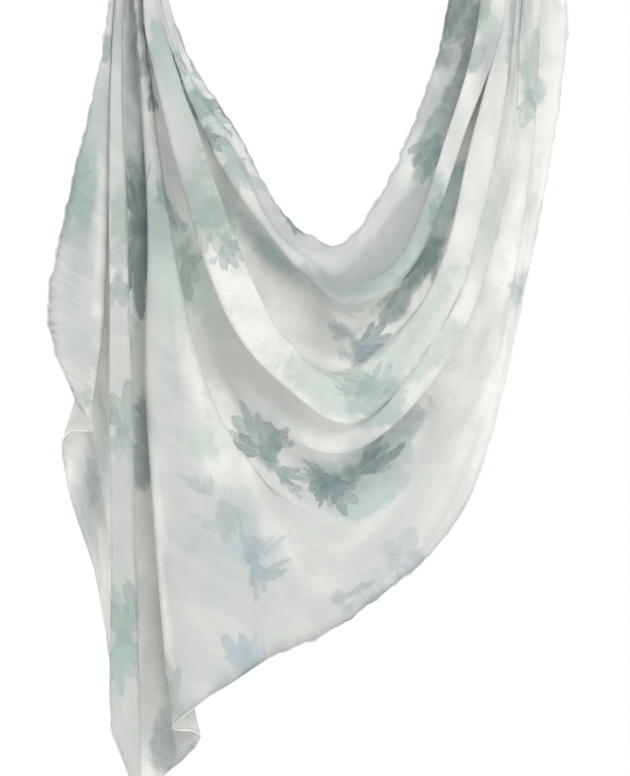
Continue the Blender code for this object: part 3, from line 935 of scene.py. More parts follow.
# %% The blooms
BLOOMS = {
    # name: (layer, x, z, aim, reach, strokes, spread, twist, dye, strength)
    "low_left": ("front", 132, -519, -18, 72, 8, 84, 0.15, "teal", 0.9),
    "low_left_heart": ("back", 138, -524, -24, 42, 4, 62, 0.1, "deep_teal", 0.85),
    "low_middle": ("front", 205, -546, 200, 42, 8, 100, 0.3, "deep_teal", 0.9),
    "low_middle_left": ("back", 220, -538, 64, 72, 4, 30, 0.1, "deep_teal", 0.9),
    "low_middle_down": ("back", 205, -548, -108, 58, 5, 36, 0.2, "teal", 0.95),
    "low_stem": ("front", 152, -544, 132, 34, 3, 24, 0.1, "blue", 0.8),
    "band_low": ("front", 258, -456, -82, 84, 7, 30, 0.1, "sage", 0.8),
    "band_low_right": ("back", 222, -472, 72, 62, 6, 55, 0.2, "blue", 0.6),
    "inner_blue": ("front", 222, -410, 112, 50, 6, 74, 0.3, "blue", 1.0),
    "inner_blue_left": ("back", 216, -404, -66, 30, 4, 60, 0.2, "blue", 0.6),
    "inner_grey": ("front", 170, -334, 196, 34, 3, 70, 0.3, "grey", 0.6),
    "rose": ("front", 92, -568, 150, 50, 7, 70, 0.5, "sage", 0.6),
    "rose_upper": ("back", 80, -554, -40, 26, 4, 70, 0.6, "sage", 0.6),
    "rose_middle": ("back", 112, -598, 125, 36, 4, 60, 0.5, "blue", 0.5),
    "rose_tail": ("front", 122, -622, 158, 52, 5, 36, -0.2, "blue", 0.7),
    "dark_rise": ("front", 302, -312, 211, 58, 6, 40, 0.1, "deep_teal", 0.85),
    "dark_rise_top": ("back", 302, -288, 18, 34, 4, 34, 0.2, "teal", 0.8),
    "neck_right": ("front", 302, -200, 204, 44, 5, 54, 0.3, "deep_teal", 1.0),
    "neck_right_top": ("back", 302, -214, 196, 44, 4, 44, 0.3, "teal", 0.8),
    "tube_petals": ("back", 356, -84, 190, 32, 3, 60, 0.2, "pale_sage", 0.95),
    "strip_leaf": ("front", 400, -160, 2, 78, 5, 30, 0.1, "sage", 0.5),
    "strip_leaf_low": ("back", 398, -160, 178, 40, 3, 50, 0.2, "sage", 0.8),
    "strip_low": ("front", 376, -354, 95, 30, 3, 60, 0.3, "sage", 0.5),
    "neck_left": ("front", 66, -158, 142, 60, 6, 70, 0.4, "teal", 0.85),
    "neck_middle": ("back", 100, -216, 140, 56, 6, 60, 0.3, "sage", 0.7),
    "neck_accent": ("front", 72, -200, 158, 34, 4, 50, 0.2, "deep_teal", 0.9),
    "neck_top": ("back", 44, -118, 150, 40, 4, 46, 0.2, "teal", 0.65),
    # neck_dark is dark print and painted shade at the top of the neck panel.
    "neck_dark": ("front", 309, -118, 18, 112, 3, 15, 0.0, "dusk", 1.0),
    "hem_patch": ("front", 156, -284, 118, 28, 3, 45, 0.2, "deep_teal", 0.9),
    "band_left": ("front", 80, -272, 166, 72, 7, 62, 0.3, "sage", 1.0),
    "band_left_low": ("back", 90, -304, 150, 44, 5, 60, 0.3, "teal", 0.75),
    "valley_top": ("front", 3, -82, 176, 48, 5, 40, 0.2, "dusk", 0.5),
    "valley_accent": ("back", 20, -152, 165, 34, 3, 30, 0.1, "deep_teal", 1.0),
    "valley_dark": ("front", 4, -292, 0, 98, 5, 36, 0.1, "deep_teal", 1.0),
    "valley_dark_low": ("back", 5, -290, 180, 104, 5, 30, 0.2, "deep_teal", 0.9),
    "pipe_upper": ("front", -13, -338, 0, 40, 5, 60, 0.4, "lavender", 0.75),
    "pipe_upper_low": ("back", -13, -344, 180, 40, 4, 60, 0.3, "teal", 0.8),
    "pipe_middle": ("front", -11, -494, 8, 58, 5, 70, 0.3, "sage", 0.95),
    "pipe_middle_low": ("back", -11, -498, 188, 44, 4, 60, 0.3, "sage", 0.7),
    "pipe_low": ("front", -11, -700, 0, 72, 6, 62, 0.3, "sage", 0.9),
    "pipe_foot": ("back", -11, -700, 180, 68, 6, 66, 0.3, "pale_teal", 0.95),
    "flap": ("front", -60, -262, -20, 60, 6, 70, 0.3, "sage", 1.0),
    "flap_upper": ("back", -62, -250, 200, 44, 5, 70, 0.3, "sage", 0.85),
    "flap_top": ("back", -27, -104, 180, 28, 3, 50, 0.1, "teal", 0.85),
    "corner": ("front", -50, -478, 0, 26, 3, 60, 0.2, "sage", 0.6),
    "broad_top": ("front", 28, -262, 64, 36, 3, 80, 0.3, "teal", 0.8),
    "broad_leaf": ("back", 54, -318, 166, 64, 3, 24, 0.2, "sage", 0.8),
    "broad_grey": ("back", 64, -524, 8, 36, 4, 70, 0.6, "pale_sage", 0.9),
    "low_leaf": ("front", 44, -776, -6, 60, 3, 18, 0.2, "sage", 0.6),
    "low_petals": ("front", 108, -740, 4, 52, 5, 66, 0.1, "pale_blue", 1.0),
    "lower_right": ("back", 262, -634, 62, 46, 4, 100, 0.3, "lavender", 0.6),
    "lower_stroke": ("front", 206, -666, 74, 56, 2, 12, 0.1, "grey", 0.65),
    "valley_top_low": ("back", 12, -124, 150, 36, 4, 50, 0.2, "teal", 0.7),
    "neck_hem": ("back", 62, -138, 60, 30, 4, 70, 0.3, "sage", 0.8),
    "neck_hem_low": ("back", 120, -226, 40, 26, 4, 70, 0.3, "teal", 0.6),
    "low_left_under": ("back", 138, -530, 122, 46, 4, 34, 0.2, "teal", 0.9),
}
print(len(BLOOMS), "blooms")

# %% [markdown]
# ## Washes, speckles, a clouded ground and painted shade
#
# A watercolour print has soft pools of colour under its flowers, fine drops
# flicked beside them, and a ground that is nowhere quite even. Some washes and
# clouds are painted shade, greying the cloth in valleys and under folds, and some
# clear it to cream as painted light. Each of these is a soft patch on the cloth,
# so one row of a table places it: where it shows, which way it points, and how far
# it reaches across and along.

# %% The washes
WASHES = {
    # name: (x, z, aim, reach across, reach along, dye, strength)
    "neck_left": (70, -166, 148, 24, 74, "pale_teal", 0.65),
    "neck_middle": (112, -246, 136, 14, 44, "lavender", 0.35),
    "neck_right": (299, -206, 20, 12, 40, "teal", 1.0),
    "low_middle": (220, -550, 80, 12, 44, "teal", 0.5),
    # neck_low is painted shade that dims the tube's highlight low in the swag.
    "neck_low": (212, -348, 90, 13, 50, "grey", 0.7),
    "valley_left": (112, -286, 140, 12, 50, "pale_teal", 0.35),
    "valley_sweep": (150, -334, 126, 12, 54, "pale_teal", 0.5),
    "valley_rise": (287, -330, 32, 17, 50, "teal", 0.75),
    "valley_right": (316, -262, 18, 12, 56, "pale_teal", 0.8),
    "inner_low": (222, -420, 95, 16, 36, "grey", 0.6),
    "band_left": (78, -262, 160, 32, 46, "sage", 1.0),
    "band_low": (212, -462, 92, 24, 84, "pale_sage", 1.0),
    "band_rise": (292, -374, 42, 22, 60, "pale_sage", 0.7),
    "under_band": (290, -470, 50, 22, 50, "grey", 0.4),
    "band_edge": (296, -424, 48, 16, 60, "pale_sage", 0.9),
    "outer_valley": (70, -346, 160, 18, 70, "pale_sage", 0.7),
    # tube_middle is the print's sage and painted shade that dulls the tube's highlight.
    "tube_middle": (287, -296, 28, 13, 44, "sage", 1.0),
    "strip_upper": (404, -125, 5, 18, 46, "pale_sage", 0.9),
    "strip_low": (386, -356, 15, 12, 26, "pale_blue", 0.45),
    "body_right": (250, -530, 60, 40, 70, "pale_blue", 0.6),
    "lower_right": (258, -640, 60, 30, 44, "pale_blue", 0.6),
    "lower_edge": (232, -668, 75, 12, 44, "grey", 0.55),
    "rose": (108, -600, 152, 26, 58, "pale_blue", 0.8),
    "broad_upper": (40, -330, 172, 24, 110, "pale_sage", 0.8),
    "broad_lower": (70, -500, 10, 24, 40, "pale_sage", 0.55),
    "broad_foot": (110, -740, 70, 16, 50, "pale_blue", 0.6),
    "valley_top": (-2, -104, 178, 12, 70, "grey", 1.0),
    "pipe_top": (-12, -190, 0, 14, 60, "pale_sage", 0.6),
    "flap_top": (-36, -170, 8, 18, 50, "pale_sage", 0.6),
    "band_top": (44, -160, 165, 14, 50, "pale_sage", 0.55),
    "valley_dark": (5, -312, 0, 18, 88, "deep_teal", 0.9),
    "valley_low": (8, -490, 0, 14, 44, "teal", 0.7),
    "valley_lower": (16, -640, 0, 14, 60, "pale_sage", 0.5),
    "valley_foot": (26, -812, 0, 18, 34, "grey", 0.95),
    "pipe_middle": (-12, -490, 0, 12, 54, "pale_sage", 0.8),
    "pipe_low": (-15, -694, 0, 14, 80, "pale_sage", 0.9),
    "flap": (-56, -262, 8, 20, 54, "sage", 1.1),
    "flap_low": (-48, -400, 10, 22, 40, "pale_blue", 0.55),
    "back_low": (-44, -556, 0, 9, 44, "grey", 0.75),
    # neck_climb is painted shade: the grey recess between the neck roll and the tube.
    "neck_climb": (276, -280, 35, 15, 50, "painted_shade_grey", 1.0),
    "top_strip": (384, -92, 5, 7, 60, "sage", 0.95),
    "top_band": (352, -78, 8, 8, 28, "sage", 0.9),
    "band_right": (358, -280, 16, 10, 56, "pale_sage", 0.7),
    "broad_top": (30, -286, 172, 9, 26, "teal", 1.0),
    "pipe_high": (-13, -288, 0, 12, 34, "sage", 0.8),
    "fold_top": (22, -112, 170, 8, 40, "sage", 0.75),
    # neck_fold is painted shade in the same recess under the neck roll.
    "neck_fold": (240, -330, 50, 14, 40, "painted_shade_grey", 0.8),
    "neck_gap": (300, -250, 25, 12, 40, "pale_teal", 0.35),
    "tube_top": (345, -124, 22, 7, 17, "sage", 0.95),
    "strip_blue": (409, -156, 8, 9, 14, "pale_blue", 0.9),
    # neck_top is dark print and painted shade at the top of the neck panel.
    "neck_top": (322, -74, 12, 15, 27, "dusk", 1.5),
    "low_rise": (262, -378, 40, 11, 24, "teal", 0.85),
    "band_low_end": (250, -480, 60, 12, 26, "pale_teal", 0.8),
    "valley_mid": (6, -534, 0, 9, 26, "teal", 0.9),
    "low_middle_right": (238, -548, 80, 13, 28, "sage", 0.9),
    # neck_shade is painted shade where the neck panel turns back under the tube.
    "neck_shade": (331, -134, 17, 9, 62, "dusk", 1.5),
    "body_soft": (234, -574, 70, 10, 34, "pale_teal", 0.65),
    "tube_rise": (268, -336, 42, 10, 30, "pale_teal", 1.0),
    "under_band_dark": (258, -502, 55, 9, 30, "teal", 1.1),
}
print(len(WASHES), "washes")

# %% The speckles
SPECKLES = {
    # name: (x, z, aim, reach across, reach along)
    "band_left": (78, -270, 150, 18, 26),
    "lower_right": (260, -630, 60, 16, 28),
    "pipe_low": (-8, -700, 0, 12, 40),
    "flap": (-46, -428, 0, 12, 22),
    "rise": (292, -350, 30, 8, 22),
}
print(len(SPECKLES), "speckled places")

# %% Clouds in the ground: some print, mostly painted shade and painted light
# The ground greys here, a little as the print's uneven ground and mostly as painted shade in valleys,
# grooves and under folds; a minus strength clears it to cream, as painted light where a fold's shading is
# too dark.
MISTS_AND_PAINTED_LIGHT = {
    # name: (x, z, aim, reach across, reach along, strength)
    "body": (250, -600, 62, 70, 120, 0.55),
    "skirt": (130, -650, 20, 70, 110, 1.0),
    "right": (305, -470, 30, 28, 100, 0.2),
    "outer_valley": (120, -440, 140, 26, 110, 0.9),
    "inner_valley": (190, -370, 110, 40, 90, 0.9),
    "broad_low": (60, -560, 0, 40, 110, 0.6),
    "foot": (40, -780, 0, 60, 70, 0.9),
    "flap": (-50, -360, 0, 40, 110, 0.7),
    "top": (10, -170, 0, 90, 110, 1.0),
    "flap_top": (-40, -190, 8, 30, 90, 0.9),
    "pipe_top": (-12, -220, 0, 24, 110, 1.0),
    "broad_upper": (26, -370, 175, 26, 120, 0.9),
    "foot_left": (-8, -800, 0, 40, 60, 0.9),
    "body_lit": (195, -628, 100, 30, 50, -0.5),
    "neck": (120, -240, 140, 40, 90, 0.6),
    "neck_low": (206, -322, 95, 40, 70, 0.8),
    "neck_rise": (280, -220, 30, 34, 90, 0.8),
    "pipe": (-10, -460, 0, 30, 140, 0.3),
    "pipe_low": (-10, -700, 0, 30, 100, 0.5),
    "valley": (10, -640, 0, 30, 120, 1.0),
    "flap_low": (-62, -350, 0, 40, 90, 1.0),
    "band_top": (48, -190, 160, 14, 60, 0.9),
    "body_low": (176, -680, 75, 30, 60, 0.8),
    "back_edge": (-48, -560, 0, 18, 70, 1.2),
    "neck_climb": (276, -290, 35, 26, 70, 1.0),
    "band_right": (366, -275, 15, 12, 70, 0.9),
    "band_low_right": (357, -410, 20, 16, 50, 0.4),
    "top_band": (361, -120, 10, 14, 50, 0.8),
    "fold_top": (24, -290, 0, 10, 40, 1.0),
    "upper_valley": (50, -250, 165, 14, 50, 0.8),
    "broad_middle": (42, -505, 0, 34, 56, 0.4),
    "broad_low_right": (92, -630, 0, 32, 70, 0.9),
    "tip": (48, -824, 0, 14, 36, 0.8),
    "pinch_clear": (2, -78, 0, 12, 26, -0.9),
    "inner_clear": (86, -262, 150, 12, 66, -0.6),
    "inner_low_clear": (146, -346, 130, 14, 50, -0.4),
    "groove_clear": (-31, -330, 0, 9, 130, -1.2),
    "right_clear": (332, -405, 25, 16, 44, -0.6),
    "valley_clear": (27, -690, 0, 7, 90, -0.9),
    "neck_lit": (286, -222, 25, 12, 44, -0.6),
    "foot_lit": (58, -796, 0, 13, 30, -1.4),
    "body_left_lit": (160, -612, 150, 30, 60, -0.55),
    "rise_clear": (238, -378, 50, 12, 34, -1.2),
    "back_clear": (-58, -518, 5, 8, 44, -1.2),
    "strip_clear": (382, -330, 15, 12, 34, -0.5),
    "climb_clear": (322, -392, 30, 10, 40, -1.2),
    "edge_clear": (24, -610, 177, 8, 90, -0.8),
    "low_clear": (196, -520, 100, 12, 40, -0.6),
    "valley_rise_clear": (244, -374, 45, 12, 36, -1.2),
    "band_edge_clear": (148, -442, 138, 8, 60, -1.0),
    "pipe_upper": (-12, -432, 0, 12, 34, 0.6),
    "body_soft": (222, -622, 62, 18, 34, 0.4),
}
print(len(MISTS_AND_PAINTED_LIGHT), "clouds of mist")

# %% Painted shade
# Painted shade: the ground goes on from mist to grey here, where a fold's shadow falls or a recess lies
# deep.
PAINTED_SHADES = {
    # name: (x, z, aim, reach across, reach along, strength)
    "back_edge": (-44, -565, 0, 14, 60, 0.5),
    "tip": (52, -826, 0, 14, 30, 0.2),
    "band_right": (346, -288, 15, 14, 60, 0.4),
    "top_band": (361, -115, 10, 10, 50, 0.4),
    "flap_edge": (-40, -280, 5, 14, 46, 0.9),
    "upper_valley": (50, -250, 165, 12, 50, 0.25),
    "neck_shade": (322, -137, 17, 18, 56, 1.2),
    "neck_left": (32, -96, 155, 10, 30, 0.4),
    "tube_low": (212, -356, 85, 12, 46, 0.9),
    "right": (316, -480, 30, 24, 60, 0.2),
    "top_strip": (384, -84, 5, 13, 40, 0.8),
    "valley_left": (118, -296, 138, 12, 60, 0.9),
    "neck_fall": (144, -306, 130, 14, 50, 0.5),
    "flap_side": (-64, -348, 5, 10, 36, 0.35),
    "pipe_top": (-6, -150, 0, 8, 50, 0.8),
    "fold_top": (25, -290, 0, 12, 40, 0.4),
    "broad_low": (88, -625, 0, 30, 60, 0.25),
    "band_rise": (288, -410, 35, 20, 60, 0.6),
    "top_middle": (366, -125, 8, 10, 50, 0.25),
    "top_gap": (337, -85, 12, 14, 40, 0.6),
    "neck_fold": (247, -318, 50, 16, 50, 0.6),
    "tube_under": (207, -362, 90, 12, 40, 0.8),
    "flap_high": (-43, -188, 15, 14, 44, 0.8),
    "broad_middle": (32, -440, 175, 20, 50, 0.25),
    "strip_top": (390, -80, 4, 8, 40, 0.8),
    "groove_low": (-30, -515, 0, 8, 50, 0.8),
    "valley_mid": (5, -412, 0, 9, 46, 0.6),
    "low_left": (114, -486, 150, 8, 32, 0.7),
    "neck_edge": (307, -142, 20, 8, 26, 0.6),
    "flap_top": (-20, -100, 5, 12, 30, 0.35),
}
print(len(PAINTED_SHADES), "clouds of grey")

# %% [markdown]
# ## From the tables to the mesh
#
# A material can read a value kept at each point, or at each corner of a face. The
# patches are smooth, so the ground and the washes are kept at the points. A
# bloom's map changes at once from one bloom to the next, so it is kept at the
# corners, and each face belongs to one bloom only.

# %% More blooms, out of sight
HIDDEN_TRIES = 120
HIDDEN_SEED = 8
HIDDEN_SPACING = 0.085             # the least distance between two hearts


def hidden_blooms():
    """More blooms at chance places of the cloth, for the layers that hide behind."""
    chance = np.random.default_rng(HIDDEN_SEED)
    # each: layer, point, aim, reach, strokes, spread, twist, dye, strength
    blooms = [(("front", "back")[n % 2], int(chance.integers(len(points))),
               chance.uniform(0, 360), chance.uniform(44, 74),
               int(chance.integers(6, 11)), chance.uniform(50, 90), chance.uniform(-0.4, 0.6),
               ("sage", "teal", "pale_blue", "grey", "lavender")[n % 5],
               chance.uniform(0.7, 0.95)) for n in range(HIDDEN_TRIES)]
    return [bloom for bloom in blooms if hidden[bloom[1]]]


print(len(hidden_blooms()), "places for blooms out of sight")

# %% Give every face its nearest bloom
GOLDEN_SHARE = 0.618     # steps of this much never bring two blooms the same strokes


def face_middle_of(values):
    """A value at each face's middle."""
    return values[faces].mean(axis=1)


def lay_blooms(layer):
    """Write one layer of blooms into the mesh, and count them.

    Each face belongs to the bloom whose heart is nearest to its middle, measured in
    that bloom's own reach. Its corners keep their places on that bloom's flat map,
    its dye with its strength, and its make: strokes to a radian, seed, twist, spread.
    """
    maps, tints, makes = [], [], []
    seed = 0.0
    rows = [(shown_at(x, z), *rest) for kept, x, z, *rest in BLOOMS.values() if kept == layer]
    placed = [shaped[row[0]] for row in rows]
    for kept, point, *rest in hidden_blooms():
        spaced = min(np.linalg.norm(shaped[point] - other) for other in placed) > HIDDEN_SPACING
        reached = np.linalg.norm(flat_map(point, rest[0]), axis=1) < rest[1] * MM
        if kept == layer and spaced and hidden[reached].all():
            rows.append((point, *rest))
            placed.append(shaped[point])
    for point, aim, reach, strokes, spread, twist, tint, strength in rows:
        seed += GOLDEN_SHARE
        maps.append(flat_map(point, aim) / (reach * MM))
        tints.append((*DYES[tint][:3], strength))
        makes.append((strokes / (2 * math.radians(spread)), seed, twist, math.radians(spread)))
    maps = np.array(maps)
    far = np.array([face_middle_of(np.linalg.norm(flat, axis=1)) for flat in maps])
    nearest = far.argmin(axis=0)
    corners = maps[nearest[:, None], faces].reshape(-1, 2)
    cloth_mesh.uv_layers.new(name=f"bloom_{layer}").data.foreach_set(
        "uv", corners.astype(np.float32).ravel())
    for name, values in (("dye", tints), ("make", makes)):
        attribute = cloth_mesh.attributes.new(f"{name}_{layer}", "FLOAT_COLOR", "CORNER")
        on_corners = np.repeat(np.array(values)[nearest], 4, axis=0)
        attribute.data.foreach_set("color", on_corners.astype(np.float32).ravel())
    return len(rows)


uv = np.column_stack([girth, run])[faces].reshape(-1, 2)
cloth_mesh.uv_layers.new(name="cloth").data.foreach_set("uv", uv.astype(np.float32).ravel())
print("blooms laid:", lay_blooms("front"), "and", lay_blooms("back"))

# %% Lay the ground, with its painted shade and painted light
def colour_attribute(mesh, name, values):
    """Keep a colour and a fourth value at each point of a mesh."""
    attribute = mesh.attributes.new(name, "FLOAT_COLOR", "POINT")
    attribute.data.foreach_set("color", values.astype(np.float32).ravel())


def clouds(table):
    """The sum of a table's patches, each at its own strength."""
    return sum(amount * patch(shown_at(x, z), aim, across, along)
               for x, z, aim, across, along, amount in table.values())


cream, mist, grey = (np.array(DYES[name][:3]) for name in ("cream", "mist", "grey"))
# The ground greys in random clouds as the print does, and as painted shade where the mist table puts it;
# the table's minus strengths clear it as painted light.
mist_and_painted_light = 0.35 * fade(waver(girth, run, 0.12, 51), -0.6, 1.0) + clouds(MISTS_AND_PAINTED_LIGHT)
mist_and_painted_light = fade(mist_and_painted_light, 0.0, 1.0)[:, None]
# Painted shade: the grey table darkens the ground further where the folds shade it.
painted_shade = np.clip(clouds(PAINTED_SHADES), 0, 1)[:, None]
ground = np.column_stack([cream + mist_and_painted_light * (mist - cream) + painted_shade * (grey - mist), mist_and_painted_light])
colour_attribute(cloth_mesh, "ground", ground)
print("ground greyed over", round(float((mist_and_painted_light > 0.5).mean()), 2), "of the cloth")

# %% Lay the washes and the speckles
total, tinted = np.zeros(len(points)), np.zeros((len(points), 3))
for x, z, aim, across, along, tint, strength in WASHES.values():
    amount = strength * patch(shown_at(x, z), aim, across, along)
    total += amount
    tinted += amount[:, None] * np.array(DYES[tint][:3])
hidden_wash = 0.5 * fade(waver(girth, run, 0.13, 41), 0.2, 1.0) * hidden
total += hidden_wash
tinted += hidden_wash[:, None] * np.array(DYES["pale_sage"][:3])
wash = np.column_stack([tinted / np.maximum(total, 1e-6)[:, None], total])
speckled = sum(patch(shown_at(x, z), *rest) for x, z, *rest in SPECKLES.values())
colour_attribute(cloth_mesh, "wash", wash)
attribute = cloth_mesh.attributes.new("speckle", "FLOAT", "POINT")
attribute.data.foreach_set("value", speckled.astype(np.float32))
print("washes cover", round(float((total > 0.4).mean()), 2), "of the cloth")

# %% [markdown]
# ## Chiffon
#
# Chiffon is a thin, open, matt weave. Light passes through it, so it is part
# Principled and part Translucent, and what lies behind it shows a little. Its
# twisted threads are uneven, which gives faint short streaks both ways. The dye
# has soaked in: strokes are ragged at their tips, streaked by the brush along
# their length, and darker where the wet dye pooled at their rims.

# %% The grain of the dye and the cloth
GRAIN = {
    # name: (scale, detail, roughness) of a cloudy noise; a higher scale is finer
    "torn": (110.0, 4.0, 0.66),
    "torn_again": (93.0, 3.0, 0.66),
    "pool": (26.0, 4.0, 0.6),
    "stain": (58.0, 5.0, 0.68),
    "clear": (34.0, 3.0, 0.55),
    "bristle": (1.6, 3.0, 0.6),
    "thread": (900.0, 1.0, 0.6),
    "lump": (420.0, 2.0, 0.6),
}
print(len(GRAIN), "kinds of grain")

# %% One fan of strokes
SHORTEST = 0.66          # the shortest stroke, as a part of the longest
TIP_ROUNDING = 0.34      # how much shorter a stroke is at its two sides
TIP_FRAYING = 0.2        # how much the bristles lengthen and shorten its tip
GAP_START = 0.45         # how far out, as a part of the reach, neighbours begin to part
GAP_OPENING = 0.05
TIP_SOFTNESS = 0.035
RIM_WIDTH = 0.16         # the dark rim where the wet dye pooled
PALEST, TONES, RIM_DEPTH = 0.5, 0.42, 0.14


def sweep(finish, at, shift, share):
    """One fan of strokes: how much dye it lays, from 0 to 1.

    The angle from the heart says which stroke a point is in, and side is how far
    it is from that stroke's middle, 0 to 1. The dye is there where the point is
    nearer the heart than the stroke's rounded, ragged tip, and clear of the gap
    that opens between neighbours towards their tips.
    """
    place = at["turned"] + shift
    number = place.math("FLOOR")
    side = (place - number - 0.5).math("ABSOLUTE") * 2.0
    lot = finish.node("ShaderNodeTexWhiteNoise", {"noise_dimensions": "1D"},
                      {"W": number * 1.37 + at["seed"] * 17.0 + shift})
    tone = finish.node("ShaderNodeSeparateColor", values=[lot.output(1)], output=1)
    length = (lot * (1 - SHORTEST) + SHORTEST) * share * at["narrowing"]
    tip = length * (1 - side * side * TIP_ROUNDING) + (at["bristle"] - 0.5) * TIP_FRAYING
    inside = tip - at["far"]
    gap = (1 - side) * at["half"] - (at["far"] - GAP_START).math("MAXIMUM", 0.0) * GAP_OPENING
    laid = finish.step(inside, 0.0, TIP_SOFTNESS) * finish.step(gap, -0.004, 0.012)
    rim = 1 - finish.step(inside, 0.03, RIM_WIDTH)
    return laid * (tone * TONES + PALEST + rim * RIM_DEPTH)


print("a fan of strokes is ready")

# %% A whole bloom
TEARING = 0.12           # how far the torn noise moves an edge, as a part of the reach
NARROWING = 0.35         # how much shorter the strokes are at the fan's two sides
LONG_FAN = (0.0, 1.0)    # how far its strokes are turned, as a part of a stroke, and its reach
SHORT_FAN = (0.45, 0.66)


def strokes(finish, layer, torn, torn_again):
    """One layer's blooms: a long pale fan under a short full one, both on the bloom's own map."""
    own = finish.node("ShaderNodeUVMap", {"uv_map": f"bloom_{layer}"})
    parts = finish.node("ShaderNodeSeparateXYZ", values=[own])
    x = parts + (torn - 0.5) * TEARING
    y = parts.output(1) + (torn_again - 0.5) * TEARING
    make = finish.node("ShaderNodeAttribute", {"attribute_name": f"make_{layer}"})
    spread = make.output(3)
    density = finish.node("ShaderNodeSeparateColor", values=[make])
    seed = density.output(1)
    twist = density.output(2)

    far = (x * x + y * y).math("SQRT")
    angle = x.math("ARCTAN2", y)
    off_aim = angle.math("ABSOLUTE") / spread
    turned = (angle + twist * far) * density + seed
    brush = finish.node("ShaderNodeCombineXYZ", values=[turned * 3.4, far * 1.5, seed])
    at = {"turned": turned, "far": far, "seed": seed, "half": far / density * 0.5,
          "narrowing": 1 - off_aim * off_aim * NARROWING,
          "bristle": finish.noise(brush, *GRAIN["bristle"])}
    under = sweep(finish, at, *LONG_FAN) * 0.85
    over = sweep(finish, at, *SHORT_FAN) * 1.1
    within = 1 - finish.step(off_aim + (torn - 0.5) * 0.5, 0.92, 1.06)
    laid = under.math("MAXIMUM", over) * (at["bristle"] * 0.9 + 0.52) * within
    heart = 1 - finish.step(far, 0.04, 0.20)
    return laid.math("MAXIMUM", heart * 0.8).math("MINIMUM", 1.0)


print("strokes ready")

# %% [markdown]
# ## Under and over the blooms
#
# Under the blooms lie the clouded ground with its painted shade and painted light,
# faint stains, and washes whose edges are frayed by a noise. Over them lie the
# flicked drops, and everywhere the uneven threads. One painted image could hold them
# all, but it would blur close by, and these stay fine at any distance.

# %% The ground and the washes
def ground_and_washes(finish, place, cloth_map, pool, torn):
    """The ground's colour with its clouds, painted shade and painted light, stains and washes, and how
    much wash lies there.
    """
    colour = finish.node("ShaderNodeAttribute", {"attribute_name": "ground"})
    colour = finish.mix(finish.step(pool, 0.42, 0.72) * 0.4, colour, DYES["mist"])
    stain = finish.noise(place, *GRAIN["stain"])
    colour = finish.mix(finish.step(stain, 0.50, 0.68) * 0.24, colour, DYES["pale_sage"])
    drawn = finish.node("ShaderNodeMapping", values={"Vector": cloth_map, "Scale": (1.0, 0.45, 1.0)})
    clear = finish.noise(drawn, *GRAIN["clear"])
    colour = finish.mix(finish.step(clear, 0.42, 0.72) * 0.24, colour, DYES["cream"])

    washed = finish.node("ShaderNodeAttribute", {"attribute_name": "wash"})
    edge = finish.step(washed.output(3) + (pool - 0.5) * 0.9 + (torn - 0.5) * 0.5, 0.30, 0.66)
    return finish.mix(edge * (torn * 0.8 + 0.22), colour, washed), edge


print("ground and washes ready")

# %% The speckles and the threads
SPECKLE_DOTS = 260.0     # dots to a metre


def speckles(finish, place, torn):
    """Where flicked drops of dye lie: the middles of small cells, near the speckled places."""
    near = finish.node("ShaderNodeAttribute", {"attribute_name": "speckle"}, output=2)
    dots = finish.node("ShaderNodeTexVoronoi", {"voronoi_dimensions": "3D"},
                       {"Vector": place, "Scale": SPECKLE_DOTS, "Randomness": 1.0})
    return (1 - finish.step(dots, 0.10, 0.22)) * finish.step(near + (torn - 0.5) * 0.5, 0.35, 0.6)


def uneven_threads(finish, cloth_map):
    """Two noises drawn out along the cloth's two ways and summed."""
    down = finish.node("ShaderNodeMapping", values={"Vector": cloth_map, "Scale": (1.0, 0.12, 1.0)})
    over = finish.node("ShaderNodeMapping", values={"Vector": cloth_map, "Scale": (0.12, 1.0, 1.0)})
    return finish.noise(down, *GRAIN["thread"]) + finish.noise(over, *GRAIN["thread"])


print("speckles and threads ready")

# %% The dyed chiffon
THROUGH = 0.30           # part of the light that is let through, scattered
CLOTH_ALPHA = 0.84       # how much undyed chiffon covers what lies behind it
DYE_ALPHA = 0.08         # how much more it covers where the dye is deep
THREAD_ALPHA = 0.02      # and where its threads lie close


def dyed_chiffon():
    """The cloth's material: ground, washes, two layers of blooms, speckles and weave."""
    finish = Finish("printed_chiffon")
    cloth_map = finish.node("ShaderNodeUVMap", {"uv_map": "cloth"})
    place = finish.node("ShaderNodeTexCoord", output=3)
    torn = finish.noise(place, *GRAIN["torn"])
    torn_again = finish.noise(place, *GRAIN["torn_again"])
    pool = finish.noise(place, *GRAIN["pool"])
    colour, edge = ground_and_washes(finish, place, cloth_map, pool, torn)

    depth = edge * 0.3
    for layer in ("back", "front"):
        laid = strokes(finish, layer, torn, torn_again)
        tint = finish.node("ShaderNodeAttribute", {"attribute_name": f"dye_{layer}"})
        strength = tint.output(3)
        tint = finish.mix(finish.step(pool, 0.45, 0.7) * 0.4, tint, DYES["blue"])
        colour = finish.mix(laid * strength * 0.9, colour, tint)
        depth = depth.math("MAXIMUM", laid * strength)
    colour = finish.mix(speckles(finish, place, torn) * 0.75, colour, DYES["teal"])
    threads = uneven_threads(finish, cloth_map)
    weave = finish.step(threads, 0.7, 1.3)
    colour = finish.mix((1 - weave) * 0.06, colour, DYES["grey"])

    shader = finish.shader
    finish.feed(shader.inputs["Base Color"], colour)
    shader.inputs["Roughness"].default_value = 0.78
    shader.inputs["Specular IOR Level"].default_value = 0.25
    finish.feed(shader.inputs["Alpha"], CLOTH_ALPHA + depth * DYE_ALPHA + weave * THREAD_ALPHA)
    finish.feed(shader.inputs["Normal"], finish.node(
        "ShaderNodeBump", values={"Strength": 0.2, "Distance": 0.0006, "Height": threads}))
    behind = finish.node("ShaderNodeBsdfTranslucent", values={"Color": colour})
    blend = finish.node("ShaderNodeMixShader",
                        values=[THROUGH, Wire(finish, shader.outputs[0]), behind])
    finish.feed(finish.tree.nodes["Material Output"].inputs["Surface"], blend)
    return finish.material


cloth.data.materials.append(dyed_chiffon())
print("chiffon dyed")

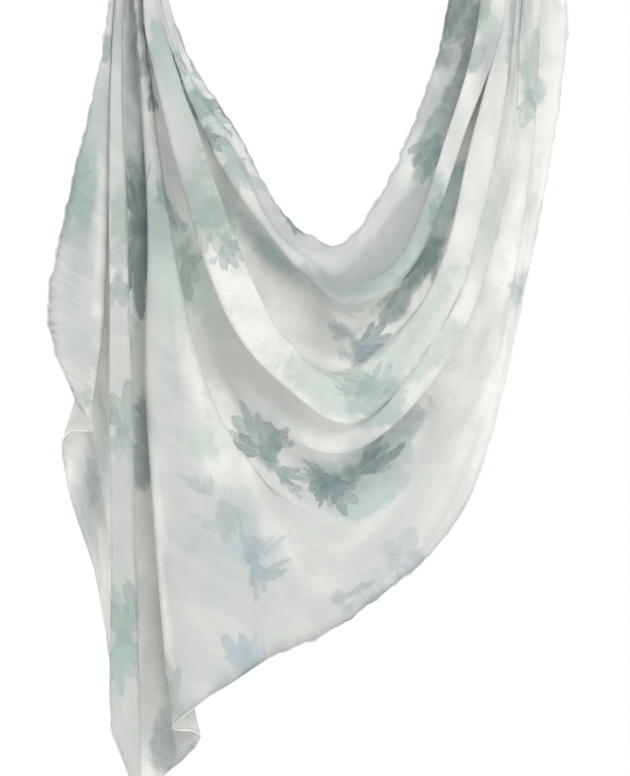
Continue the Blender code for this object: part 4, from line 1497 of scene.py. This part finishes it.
# %% [markdown]
# ## The hem's dye
#
# The hem is the same cloth rolled up three layers thick, so it takes the print of
# the edge it closes, only deeper, and darkens in bits where a painted stroke runs
# off the cloth.

# %% The dyed hem
INKED = {
    # name: (x, z, aim, reach across, reach along)
    "neck_left": (52, -118, 150, 14, 62),
    "neck_low": (92, -186, 148, 14, 34),
    "neck_patch": (152, -280, 130, 12, 26),
    "neck_top": (312, -92, 15, 12, 40),
    "flap_corner": (-54, -470, 0, 22, 30),
    "lower_right": (226, -676, 75, 14, 40),
    "foot": (110, -748, 60, 14, 30),
}
HEM_SHADE = 0.90         # three layers show deeper than one
taken = fade(wash[edge, 3:], 0.2, 0.9)
inked = 0.5 * fade(waver(run[edge] + girth[edge], run[edge] * 0, 0.09, 61), 0.25, 0.9)
inked += sum(patch(shown_at(x, z), *rest)[edge] for x, z, *rest in INKED.values())
inked *= 0.75 + 0.4 * waver(run[edge] + girth[edge], run[edge] * 0, 0.02, 62)
inked = np.clip(inked, 0, 1)[:, None]
on_hem = HEM_SHADE * (ground[edge, :3] + 0.8 * taken * (wash[edge, :3] - ground[edge, :3]))
on_hem = on_hem + 0.8 * inked * (DYES["dusk"][:3] - on_hem)
colour_attribute(hem_mesh, "dyed", np.repeat(np.column_stack([on_hem, inked]), HEM_SIDES, axis=0))
print("ink on", round(float((inked > 0.5).mean()), 2), "of the hem")

# %% The hem's finish
hem_finish = Finish("rolled_hem")
dyed = hem_finish.node("ShaderNodeAttribute", {"attribute_name": "dyed"})
place = hem_finish.node("ShaderNodeTexCoord", output=3)
lumps = hem_finish.noise(place, *GRAIN["lump"])
hem_finish.feed(hem_finish.shader.inputs["Base Color"],
                hem_finish.mix(hem_finish.step(lumps, 0.35, 0.7) * 0.22, dyed, DYES["grey"]))
hem_finish.shader.inputs["Roughness"].default_value = 0.75
hem_finish.feed(hem_finish.shader.inputs["Normal"],
                hem_finish.node("ShaderNodeBump", values={"Strength": 0.3, "Distance": 0.0004,
                                                          "Height": lumps}))
hem.data.materials.append(hem_finish.material)

print("hem finished")
